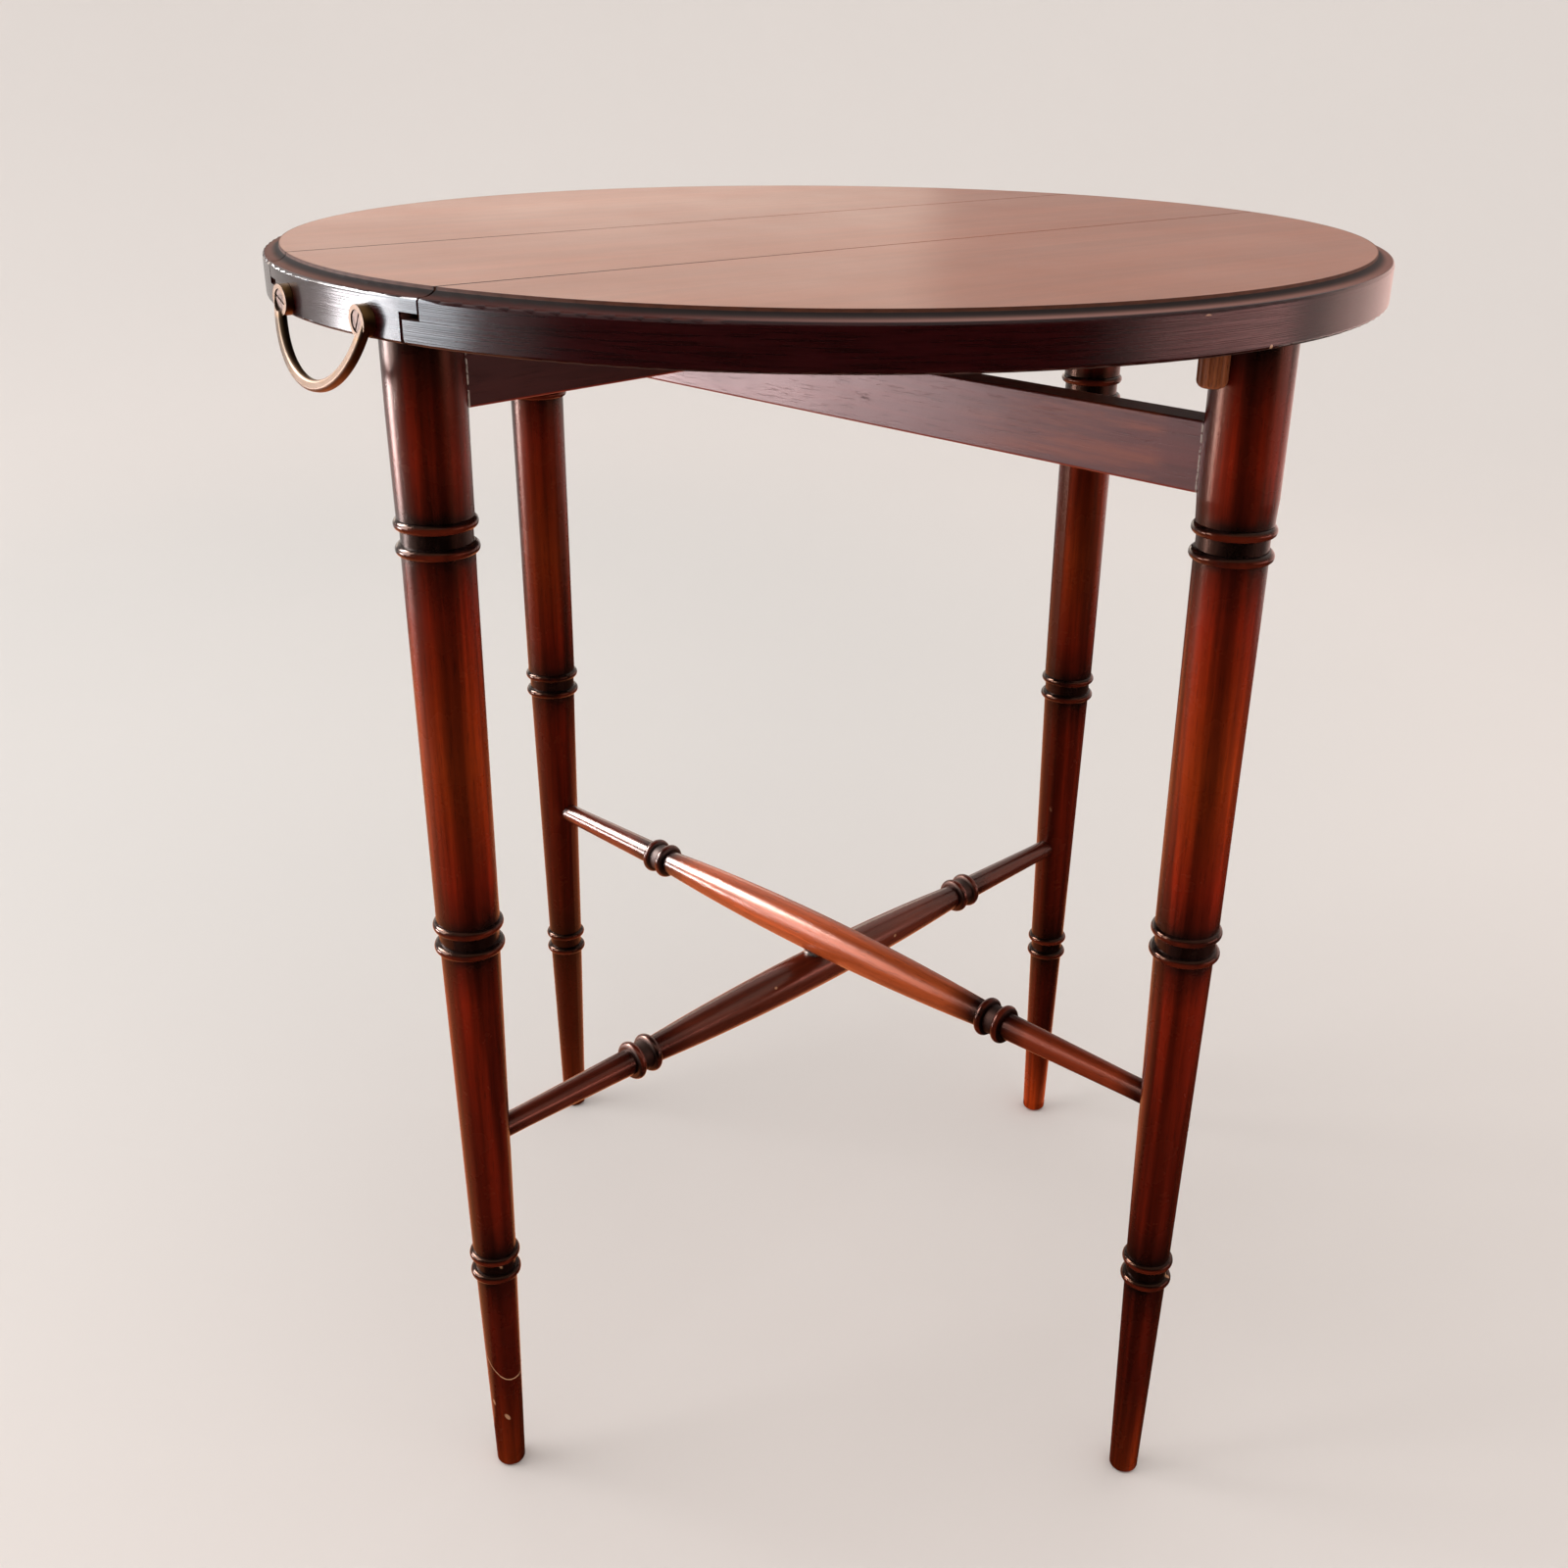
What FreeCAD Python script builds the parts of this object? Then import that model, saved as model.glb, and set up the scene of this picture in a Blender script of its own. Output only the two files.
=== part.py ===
import FreeCAD, Part
import math
import os
import Sketcher
from types import SimpleNamespace

# Round drop-leaf occasional table on two crossing frames of turned legs.
# Frame: +Z up, origin on the floor under the pivot, +X along the centre board away from the handle.
# The near leaf is at -Y. Sizes are in millimetres and degrees.
SIZES = {
    # Round top
    "table_height": 665.0,
    "top_radius": 280.0,
    "top_thickness": 23.0,
    "moulding_width": 8.0,
    "moulding_quirk": 1.2,
    "moulding_drop": 3.6,
    "lip_round": 1.8,
    "rim_round": 1.5,
    # Stepped joint between the centre board and a leaf
    "board_half_width": 70.0,
    "lip_length": 10.8,
    "lip_thickness": 10.0,
    "tongue_thickness": 10.0,
    "tongue_round": 3.0,
    "joint_gap": 1.2,
    "tongue_gap": 1.8,
    # Leaf hinges
    "hinge_spread": 135.0,
    "hinge_length": 38.0,
    "hinge_flap_reach": 30.0,
    "hinge_flap_thickness": 2.0,
    "knuckle_radius": 3.0,
    "knuckle_share": 0.5,
    "knuckle_gap": 0.2,
    "hinge_pin_radius": 1.5,
    "hinge_pin_inset": 4.5,
    "hinge_pin_rise": 3.5,
    "hinge_room": 0.4,
    "hinge_screw_pitch": 12.0,
    "hinge_screw_reach": 18.0,
    "hinge_screw_length": 8.0,
    "hinge_screw_shank": 1.4,
    "hinge_screw_head": 2.8,
    # Crossing frames
    "fixed_angle": 6.0,
    "frame_cross_angle": 90.0,
    "fixed_leg_inset": 31.0,
    "swing_leg_inset": 26.0,
    "rail_thickness": 18.0,
    "rail_round": 1.2,
    "fixed_rail_height": 35.0,
    "swing_rail_height": 32.0,
    "rail_gap": 3.0,
    "tenon_thickness": 8.0,
    "tenon_shoulder": 5.0,
    "tenon_end_gap": 0.5,
    "glue_gap": 0.1,
    "leg_top_gap": 0.3,
    # Turned legs
    "leg_top_radius": 18.0,
    "leg_collar_radius": 17.4,
    "leg_foot_radius": 7.9,
    "leg_foot_round": 2.5,
    "collar_length": 20.0,
    "ring_spacing": 203.5,
    "upper_ring_radius": 19.0,
    "middle_ring_radius": 17.4,
    "lower_ring_radius": 13.5,
    "under_upper_radius": 16.7,
    "over_middle_radius": 15.6,
    "under_middle_radius": 14.7,
    "over_lower_radius": 11.5,
    "under_lower_radius": 11.0,
    "bead_radius": 2.65,
    "groove_height": 6.4,
    # Turned stretchers
    "stretcher_rise": 81.0,
    "stretcher_spacing": 25.0,
    "stretcher_middle_radius": 12.0,
    "stretcher_neck_radius": 7.6,
    "stretcher_end_radius": 6.2,
    "stretcher_ring_radius": 11.2,
    "stretcher_ring_reach": 142.0,
    "stretcher_end_length": 24.0,
    "stretcher_washer_thickness": 3.0,
    "stretcher_washer_radius": 6.5,
    "stretcher_pin_radius": 2.5,
    "stretcher_pin_head": 5.0,
    "stretcher_pin_sink": 5.0,
    "stretcher_pin_bite": 6.0,
    # Pivot of the swing frame
    "pivot_bolt_radius": 3.0,
    "pivot_head_radius": 5.8,
    "pivot_head_height": 4.0,
    "pivot_head_sink": 4.5,
    "pivot_nut_radius": 5.8,
    "pivot_nut_height": 5.0,
    "pivot_nut_sink": 8.0,
    "pivot_washer_radius": 6.2,
    "pivot_washer_thickness": 1.6,
    "rail_washer_radius": 7.5,
    "running_gap": 0.05,
    "seat_gap": 0.1,
    # Screws that hold the fixed rail under the board
    "rail_screw_reach": 120.0,
    "rail_screw_sink": 14.0,
    "rail_screw_length": 33.0,
    "rail_screw_shank": 2.2,
    "rail_screw_head": 4.4,
    "rail_screw_head_height": 2.5,
    # Brass bow handle
    "handle_spacing": 75.0,
    "handle_drop": 31.6,
    "handle_lean_angle": 14.0,
    "handle_stand_off": 2.0,
    "handle_rise": 7.2,
    "handle_eye_radius": 6.8,
    "handle_bow_width": 5.2,
    "handle_bow_depth": 4.6,
    "handle_bow_round": 1.7,
    "handle_recess_radius": 4.8,
    "handle_recess_depth": 2.4,
    "handle_screw_head": 4.6,
    "handle_screw_head_height": 1.9,
    "near_slot_angle": 32.0,
    "far_slot_angle": 114.0,
    "handle_screw_shank": 2.0,
    "handle_screw_length": 22.0,
    # Fluted stop dowels under the leaves
    "dowel_radius": 6.6,
    "dowel_drop": 20.0,
    "dowel_insert": 9.0,
    "dowel_end_round": 3.5,
    "dowel_flute_radius": 1.0,
    "dowel_flutes": 12,
    "dowel_turn_angle": 11.0,
    "stop_gap": 0.3,
    # Slots cut in screw heads
    "slot_width": 0.9,
    "slot_depth": 0.9,
}
SHEET = "Sizes"
CUT_ROOM = 2.0
FULL_TURN = 360.0
HALF_TURN = 180.0
AXIS_TURN = 1.0
X_AXIS_INDEX = -1
Y_AXIS_INDEX = -2
START_INDEX = 1
END_INDEX = 2
CENTRE_INDEX = 3
ORIGIN_POINT = (X_AXIS_INDEX, START_INDEX)


class Dim:
    """A size with its number and the sheet expression that gives it."""

    def __init__(self, value, text):
        self.value = value
        self.text = text

    def __add__(self, other):
        other = as_dim(other)
        return Dim(self.value + other.value, f"({self.text} + {other.text})")

    def __sub__(self, other):
        other = as_dim(other)
        return Dim(self.value - other.value, f"({self.text} - {other.text})")

    def __mul__(self, other):
        other = as_dim(other)
        return Dim(self.value * other.value, f"({self.text} * {other.text})")

    def __truediv__(self, other):
        other = as_dim(other)
        return Dim(self.value / other.value, f"({self.text} / {other.text})")

    def __neg__(self):
        return Dim(-self.value, f"(0 - {self.text})")


def as_dim(value):
    if isinstance(value, Dim):
        return value
    return Dim(float(value), repr(float(value)))


ZERO = as_dim(0)


def cosine(angle):
    return Dim(math.cos(math.radians(angle.value)), f"cos({angle.text} * 1 deg)")


def sine(angle):
    return Dim(math.sin(math.radians(angle.value)), f"sin({angle.text} * 1 deg)")


def arc_sine(ratio):
    return Dim(math.degrees(math.asin(ratio.value)), f"(asin({ratio.text}) / 1 deg)")


def turned(angle, along, across):
    """Point at along and across from the origin in a frame turned by angle."""
    x = along * cosine(angle) - across * sine(angle)
    y = along * sine(angle) + across * cosine(angle)
    return x, y


doc = FreeCAD.newDocument("occasional_table")
sheet = doc.addObject("Spreadsheet::Sheet", SHEET)
for row, (size_name, number) in enumerate(SIZES.items(), start=1):
    sheet.set(f"A{row}", size_name)
    sheet.set(f"B{row}", str(number))
    sheet.setAlias(f"B{row}", size_name)
doc.recompute()

s = SimpleNamespace(**{name: Dim(number, f"{SHEET}.{name}") for name, number in SIZES.items()})

# Levels and places that several pieces share
underside = s.table_height - s.top_thickness
tongue_top = underside + s.tongue_thickness
step_y = s.board_half_width - s.lip_length
tongue_end_y = step_y + s.tongue_gap
leaf_face_y = s.board_half_width + s.joint_gap
pin_y = tongue_end_y + s.hinge_pin_inset
pin_z = underside + s.hinge_pin_rise
hinge_room_x = s.hinge_length / 2 + s.hinge_room
knuckle_room = s.knuckle_radius + s.hinge_room
fixed_rail_bottom = underside - s.fixed_rail_height
swing_rail_top = fixed_rail_bottom - s.rail_gap
swing_rail_bottom = swing_rail_top - s.swing_rail_height
upper_ring_height = swing_rail_bottom - s.collar_length
middle_ring_height = upper_ring_height - s.ring_spacing
lower_ring_height = middle_ring_height - s.ring_spacing
fixed_stretcher_height = lower_ring_height + s.stretcher_rise
swing_stretcher_height = fixed_stretcher_height + s.stretcher_spacing
stretcher_flat = (s.stretcher_spacing - s.stretcher_washer_thickness) / 2
swing_angle = s.fixed_angle + s.frame_cross_angle
fixed_leg_reach = s.top_radius - s.fixed_leg_inset
swing_leg_reach = s.top_radius - s.swing_leg_inset
cope_radius = s.leg_top_radius + s.glue_gap
ring_half = s.bead_radius * 2 + s.groove_height / 2
handle_eye_z = underside + s.handle_rise
handle_front_x = s.top_radius + s.handle_stand_off
handle_head_x = s.handle_recess_depth - s.handle_screw_head_height - handle_front_x
dowel_side = s.leg_top_radius + s.dowel_radius + s.stop_gap
dowel_reach = swing_leg_reach - dowel_side * sine(s.dowel_turn_angle)
dowel_across = -dowel_side * cosine(s.dowel_turn_angle)
dowel_x, dowel_y = turned(swing_angle + HALF_TURN, dowel_reach, dowel_across)
nodes = []


def keep(obj, label):
    """Name a finished piece; its label is also its file's name."""
    obj.Label = label
    nodes.append(obj)
    return obj


def bind(obj, **properties):
    for name, size in properties.items():
        obj.setExpression(name, as_dim(size).text)
    return obj


def place(obj, x=ZERO, y=ZERO, z=ZERO, angle=ZERO, axis=(0, 0, 1)):
    obj.Placement = FreeCAD.Placement(FreeCAD.Vector(), FreeCAD.Rotation(FreeCAD.Vector(*axis), AXIS_TURN))
    obj.setExpression("Placement.Base.x", x.text)
    obj.setExpression("Placement.Base.y", y.text)
    obj.setExpression("Placement.Base.z", z.text)
    obj.setExpression("Placement.Rotation.Angle", angle.text)
    return obj


def new_body(label):
    return doc.addObject("PartDesign::Body", label.title().replace("_", ""))


def new_sketch(body, role, offset=ZERO):
    """Sketch on one of the body's own planes, moved along the plane's normal by offset."""
    sketch = body.newObject("Sketcher::SketchObject", f"{body.Name}_sketch")
    plane = next(item for item in body.Origin.OriginFeatures if item.Role == role)
    sketch.AttachmentSupport = [(plane, "")]
    sketch.MapMode = "FlatFace"
    sketch.setExpression("AttachmentOffset.Base.z", offset.text)
    return sketch


def vector(point):
    return FreeCAD.Vector(point[0].value, point[1].value, 0)


def arc_between(first, last, centre, outward):
    """Arc from first to last, turning left about the centre when outward is true."""
    radius = (vector(first) - vector(centre)).Length
    begin, finish = (first, last) if outward else (last, first)
    angles = []
    for point in (begin, finish):
        offset = vector(point) - vector(centre)
        angles.append(math.atan2(offset.y, offset.x))
    if angles[1] < angles[0]:
        angles[1] += math.radians(FULL_TURN)
    circle = Part.Circle(vector(centre), FreeCAD.Vector(0, 0, 1), radius)
    return Part.ArcOfCircle(circle, angles[0], angles[1])


def fix_point(sketch, geometry, position, point):
    """Tie a point of the sketch to its two sizes."""
    x, y = point
    for kind, size, axis in (("DistanceX", x, Y_AXIS_INDEX), ("DistanceY", y, X_AXIS_INDEX)):
        if size is ZERO:
            sketch.addConstraint(Sketcher.Constraint("PointOnObject", geometry, position, axis))
            continue
        index = sketch.addConstraint(
            Sketcher.Constraint(kind, *ORIGIN_POINT, geometry, position, size.value)
        )
        sketch.setExpression(f"Constraints[{index}]", size.text)


def outline(sketch, corners, arcs=None):
    """Closed outline through corners; arcs gives the centre and side of an arc that leaves a corner."""
    arcs = arcs or {}
    first = len(sketch.Geometry)
    ends = []
    for number, corner in enumerate(corners):
        following = corners[(number + 1) % len(corners)]
        if number in arcs:
            centre, outward = arcs[number]
            sketch.addGeometry(arc_between(corner, following, centre, outward), False)
            ends.append((START_INDEX, END_INDEX) if outward else (END_INDEX, START_INDEX))
        else:
            sketch.addGeometry(Part.LineSegment(vector(corner), vector(following)), False)
            ends.append((START_INDEX, END_INDEX))
    for number, corner in enumerate(corners):
        before = (number - 1) % len(corners)
        begin, finish = ends[number][0], ends[before][1]
        joined = Sketcher.Constraint("Coincident", first + before, finish, first + number, begin)
        sketch.addConstraint(joined)
        fix_point(sketch, first + number, begin, corner)
    for number, (centre, _) in arcs.items():
        chord = vector(corners[(number + 1) % len(corners)]) - vector(corners[number])
        kind, size = ("DistanceX", centre[0]) if abs(chord.y) > abs(chord.x) else ("DistanceY", centre[1])
        index = sketch.addConstraint(
            Sketcher.Constraint(kind, *ORIGIN_POINT, first + number, CENTRE_INDEX, size.value)
        )
        sketch.setExpression(f"Constraints[{index}]", size.text)


def rectangle(sketch, low_x, high_x, low_y, high_y):
    outline(sketch, [(low_x, low_y), (high_x, low_y), (high_x, high_y), (low_x, high_y)])


def circle(sketch, x, y, radius):
    shape = Part.Circle(FreeCAD.Vector(x.value, y.value, 0), FreeCAD.Vector(0, 0, 1), radius.value)
    geometry = sketch.addGeometry(shape, False)
    index = sketch.addConstraint(Sketcher.Constraint("Radius", geometry, radius.value))
    sketch.setExpression(f"Constraints[{index}]", radius.text)
    fix_point(sketch, geometry, CENTRE_INDEX, (x, y))


def revolve(body, sketch, axis, angle=FULL_TURN):
    """Turn the sketch about its own axis, half of the angle to each side of the sketch plane."""
    feature = body.newObject("PartDesign::Revolution", f"{body.Name}_turning")
    feature.Profile = sketch
    feature.ReferenceAxis = (sketch, [axis])
    feature.Midplane = True
    return bind(feature, Angle=angle)


def pad(body, sketch, length):
    feature = body.newObject("PartDesign::Pad", f"{body.Name}_pad")
    feature.Profile = sketch
    return bind(feature, Length=length)


def pocket(body, sketch, length, forward=True):
    """Cut along the sketch plane's normal, or against it when forward is false."""
    doc.recompute()
    before = body.Shape.Volume
    feature = body.newObject("PartDesign::Pocket", f"{body.Name}_cut")
    feature.Profile = sketch
    feature.Reversed = forward
    bind(feature, Length=length)
    doc.recompute()
    if not body.Shape.Volume < before:
        raise RuntimeError(f"{feature.Name} cuts nothing")
    return feature


def moulded_disc(body):
    """The whole round top with its moulded rim, before it is cut into board and leaves."""
    sketch = new_sketch(body, "XZ_Plane")
    rim = s.top_radius
    edge_z = s.table_height - s.moulding_drop
    quirk_z = s.table_height - s.moulding_quirk
    ledge = (rim - s.lip_round, edge_z)
    crest = (rim - s.moulding_width, quirk_z)
    cove_x = (ledge[0] + crest[0]) / 2 + (crest[1] - ledge[1])
    cove_z = (ledge[1] + crest[1]) / 2 + (ledge[0] - crest[0])
    corners = [
        (ZERO, underside),
        (rim - s.rim_round, underside),
        (rim, underside + s.rim_round),
        (rim, edge_z - s.lip_round),
        ledge,
        crest,
        (rim - s.moulding_width, s.table_height),
        (ZERO, s.table_height),
    ]
    arcs = {
        1: ((rim - s.rim_round, underside + s.rim_round), True),
        3: ((rim - s.lip_round, edge_z - s.lip_round), True),
        4: ((cove_x, cove_z), False),
    }
    outline(sketch, corners, arcs)
    return revolve(body, sketch, "V_Axis")


def hinge_places(y):
    return [(-s.hinge_spread, y), (s.hinge_spread, y)]


def hinge_screw_places(hinge_y, toward_centre):
    """Screw centres of the two flaps on one side of a hinge line."""
    y = hinge_y + s.hinge_screw_reach * toward_centre
    spots = []
    for x, _ in hinge_places(hinge_y):
        spots += [(x + s.hinge_screw_pitch * step, y) for step in (-1, 0, 1)]
    return spots


def centre_board():
    body = new_body("centre_board")
    moulded_disc(body)
    reach = s.top_radius + CUT_ROOM
    sides = new_sketch(body, "XY_Plane", underside)
    lips = new_sketch(body, "XY_Plane", underside)
    flaps = new_sketch(body, "XY_Plane", underside)
    screws = new_sketch(body, "XY_Plane", underside)
    for side in (-1, 1):
        for sketch, inner in ((sides, s.board_half_width), (lips, step_y)):
            low, high = sorted((inner * side, reach * side), key=lambda size: size.value)
            rectangle(sketch, -reach, reach, low, high)
        inner_y = (pin_y - s.hinge_flap_reach - s.hinge_room) * side
        outer_y = (step_y + CUT_ROOM) * side
        low, high = sorted((inner_y, outer_y), key=lambda size: size.value)
        for x, _ in hinge_places(pin_y):
            rectangle(flaps, x - hinge_room_x, x + hinge_room_x, low, high)
        for x, y in hinge_screw_places(pin_y * side, -side):
            circle(screws, x, y, s.hinge_screw_shank + s.seat_gap)
    pocket(body, sides, s.top_thickness + CUT_ROOM)
    pocket(body, lips, s.top_thickness - s.lip_thickness)
    pocket(body, flaps, s.hinge_flap_thickness)
    pocket(body, screws, s.hinge_screw_length + s.seat_gap)
    rail_screws = new_sketch(body, "XY_Plane", underside)
    for step in (-1, 1):
        x, y = turned(s.fixed_angle, s.rail_screw_reach * step, ZERO)
        circle(rail_screws, x, y, s.rail_screw_shank + s.seat_gap)
    bite = s.rail_screw_length + s.rail_screw_sink - s.rail_screw_head_height - s.fixed_rail_height
    pocket(body, rail_screws, bite + s.seat_gap)
    handle_screws = new_sketch(body, "YZ_Plane", handle_head_x + s.handle_screw_length + s.seat_gap)
    for step in (-1, 1):
        circle(handle_screws, s.handle_spacing / 2 * step, handle_eye_z, s.handle_screw_shank + s.seat_gap)
    pocket(body, handle_screws, s.handle_screw_length + CUT_ROOM, forward=False)
    return keep(body, "centre_board")


def leaf(label, turn):
    """One leaf, drawn on the near side and turned to its place."""
    body = new_body(label)
    moulded_disc(body)
    reach = s.top_radius + CUT_ROOM
    round_y = -(tongue_end_y + s.tongue_round)
    round_z = underside + s.tongue_round
    inboard = new_sketch(body, "YZ_Plane", -reach)
    corners = [
        (reach, underside - CUT_ROOM),
        (reach, s.table_height + CUT_ROOM),
        (-leaf_face_y, s.table_height + CUT_ROOM),
        (-leaf_face_y, tongue_top),
        (-tongue_end_y, tongue_top),
        (-tongue_end_y, round_z),
        (round_y, underside),
        (round_y, underside - CUT_ROOM),
    ]
    outline(inboard, corners, {5: ((round_y, round_z), False)})
    pocket(body, inboard, reach * 2)
    notches = new_sketch(body, "XY_Plane", underside)
    flaps = new_sketch(body, "XY_Plane", underside)
    for x, _ in hinge_places(pin_y):
        low_x, high_x = x - hinge_room_x, x + hinge_room_x
        rectangle(notches, low_x, high_x, -(pin_y + knuckle_room), -(tongue_end_y - CUT_ROOM))
        rectangle(flaps, low_x, high_x, -(pin_y + s.hinge_flap_reach + s.hinge_room), -pin_y)
    pocket(body, notches, s.hinge_pin_rise + knuckle_room)
    pocket(body, flaps, s.hinge_flap_thickness)
    screws = new_sketch(body, "XY_Plane", underside)
    for x, y in hinge_screw_places(-pin_y, -1):
        circle(screws, x, y, s.hinge_screw_shank + s.seat_gap)
    pocket(body, screws, s.hinge_screw_length + s.seat_gap)
    socket = new_sketch(body, "XY_Plane", underside)
    circle(socket, dowel_x, dowel_y, s.dowel_radius + s.seat_gap)
    pocket(body, socket, s.dowel_insert + s.seat_gap)
    place(body, angle=as_dim(turn))
    return keep(body, label)


def ring_pair(corners, arcs, level, radius, below, above):
    """Two beads with a groove between them, on a shaft that is below and above wide."""
    bed = radius - s.bead_radius
    groove = s.groove_height / 2
    corners.append((below, level - ring_half))
    for low, high in ((-ring_half, -groove), (groove, ring_half)):
        arcs[len(corners)] = ((bed, level + (low + high) / 2), True)
        corners.append((bed, level + low))
        corners.append((bed, level + high))
    corners.append((above, level + ring_half))


def leg(label, angle, reach, top, rail_low, rail_high, stretcher_height):
    """Turned leg about its own axis, with its mortises toward -X, then set out from the pivot."""
    body = new_body(label)
    sketch = new_sketch(body, "XZ_Plane")
    arcs = {1: ((s.leg_foot_radius - s.leg_foot_round, s.leg_foot_round), True)}
    corners = [
        (ZERO, ZERO),
        (s.leg_foot_radius - s.leg_foot_round, ZERO),
        (s.leg_foot_radius, s.leg_foot_round),
    ]
    rings = (
        (lower_ring_height, s.lower_ring_radius, s.under_lower_radius, s.over_lower_radius),
        (middle_ring_height, s.middle_ring_radius, s.under_middle_radius, s.over_middle_radius),
        (upper_ring_height, s.upper_ring_radius, s.under_upper_radius, s.leg_collar_radius),
    )
    for level, radius, below, above in rings:
        ring_pair(corners, arcs, level, radius, below, above)
    corners += [(s.leg_top_radius, rail_low), (s.leg_top_radius, top), (ZERO, top)]
    outline(sketch, corners, arcs)
    revolve(body, sketch, "V_Axis")
    mortise = new_sketch(body, "YZ_Plane")
    half = s.tenon_thickness / 2 + s.glue_gap
    low = rail_low + s.tenon_shoulder - s.glue_gap
    high = rail_high - s.tenon_shoulder + s.glue_gap
    rectangle(mortise, -half, half, low, high)
    pocket(body, mortise, s.leg_top_radius + CUT_ROOM, forward=False)
    socket = new_sketch(body, "YZ_Plane")
    circle(socket, ZERO, stretcher_height, s.stretcher_end_radius + s.glue_gap)
    pocket(body, socket, s.leg_top_radius + CUT_ROOM, forward=False)
    x, y = turned(angle, reach, ZERO)
    place(body, x, y, angle=angle)
    return keep(body, label)


def rail(label, angle, reach, bottom, height):
    """Flat rail with eased edges between two legs, coped to them, with a tenon at each end."""
    body = new_body(label)
    section = new_sketch(body, "YZ_Plane", -reach)
    rounded_rectangle(section, ZERO, height / 2, s.rail_thickness, height, s.rail_round)
    pad(body, section, reach * 2)
    copes = new_sketch(body, "XY_Plane")
    for end in (-1, 1):
        circle(copes, reach * end, ZERO, cope_radius)
    pocket(body, copes, height)
    tenons = new_sketch(body, "XY_Plane", s.tenon_shoulder)
    inner = reach - cope_radius - s.tenon_shoulder
    outer = reach - s.tenon_end_gap
    for end in (-1, 1):
        low, high = sorted((inner * end, outer * end), key=lambda size: size.value)
        rectangle(tenons, low, high, -s.tenon_thickness / 2, s.tenon_thickness / 2)
    pad(body, tenons, height - s.tenon_shoulder * 2)
    place(body, z=bottom, angle=angle)
    return keep(body, label)


def fixed_rail():
    body = rail("fixed_rail", s.fixed_angle, fixed_leg_reach, fixed_rail_bottom, s.fixed_rail_height)
    bolt = new_sketch(body, "XY_Plane")
    circle(bolt, ZERO, ZERO, s.pivot_bolt_radius + s.seat_gap)
    pocket(body, bolt, s.fixed_rail_height)
    head = new_sketch(body, "XY_Plane", s.fixed_rail_height - s.pivot_head_sink)
    circle(head, ZERO, ZERO, s.pivot_head_radius + s.seat_gap)
    pocket(body, head, s.pivot_head_sink)
    shanks = new_sketch(body, "XY_Plane")
    heads = new_sketch(body, "XY_Plane")
    for step in (-1, 1):
        circle(shanks, s.rail_screw_reach * step, ZERO, s.rail_screw_shank + s.seat_gap)
        circle(heads, s.rail_screw_reach * step, ZERO, s.rail_screw_head + s.seat_gap)
    pocket(body, shanks, s.fixed_rail_height)
    pocket(body, heads, s.rail_screw_sink)


def swing_rail():
    body = rail("swing_rail", swing_angle, swing_leg_reach, swing_rail_bottom, s.swing_rail_height)
    bolt = new_sketch(body, "XY_Plane")
    circle(bolt, ZERO, ZERO, s.pivot_bolt_radius + s.running_gap)
    pocket(body, bolt, s.swing_rail_height)
    nut = new_sketch(body, "XY_Plane")
    circle(nut, ZERO, ZERO, s.pivot_washer_radius + s.hinge_room)
    pocket(body, nut, s.pivot_nut_sink)


def stretcher(label, angle, reach, height, flat_up):
    """Turned stretcher along X, thickest in the middle, with a ring pair toward each end."""
    body = new_body(label)
    sketch = new_sketch(body, "XZ_Plane")
    end = reach - s.tenon_end_gap
    ring_out = s.stretcher_ring_reach + ring_half
    ring_in = s.stretcher_ring_reach - ring_half
    bed = s.stretcher_ring_radius - s.bead_radius
    groove = s.groove_height / 2
    neck, tip = s.stretcher_neck_radius, s.stretcher_end_radius
    taper = end - s.stretcher_end_length
    swell = s.stretcher_middle_radius - neck
    bow_radius = (ring_in * ring_in + swell * swell) / (swell * 2)
    corners = [(-end, ZERO), (end, ZERO), (end, tip), (taper, tip), (ring_out, neck)]
    arcs = {}
    for side in (1, -1):
        beads = ((ring_out, groove + s.stretcher_ring_reach), (s.stretcher_ring_reach - groove, ring_in))
        for far, close in beads if side > 0 else [(b, a) for a, b in reversed(beads)]:
            arcs[len(corners)] = (((far + close) / 2 * side, bed), True)
            corners.append((far * side, bed))
            corners.append((close * side, bed))
        if side > 0:
            arcs[len(corners)] = ((ZERO, s.stretcher_middle_radius - bow_radius), True)
            corners.append((ring_in, neck))
            corners.append((-ring_in, neck))
    corners += [(-ring_out, neck), (-taper, tip), (-end, tip)]
    outline(sketch, corners, arcs)
    revolve(body, sketch, "H_Axis")
    flat = new_sketch(body, "XY_Plane", stretcher_flat if flat_up else -stretcher_flat)
    circle(flat, ZERO, ZERO, s.stretcher_washer_radius + s.hinge_room)
    pocket(body, flat, s.stretcher_middle_radius, forward=flat_up)
    bore = new_sketch(body, "XY_Plane", -s.stretcher_middle_radius)
    if flat_up:
        circle(bore, ZERO, ZERO, s.stretcher_pin_radius + s.seat_gap)
        pocket(body, bore, s.stretcher_middle_radius * 2)
        head = new_sketch(body, "XY_Plane", -s.stretcher_middle_radius)
        circle(head, ZERO, ZERO, s.stretcher_pin_head + s.seat_gap)
        pocket(body, head, s.stretcher_pin_sink)
    else:
        circle(bore, ZERO, ZERO, s.stretcher_pin_radius + s.running_gap)
        pocket(body, bore, s.stretcher_middle_radius + s.stretcher_pin_bite + s.seat_gap)
    place(body, z=height, angle=angle)
    return keep(body, label)


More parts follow.
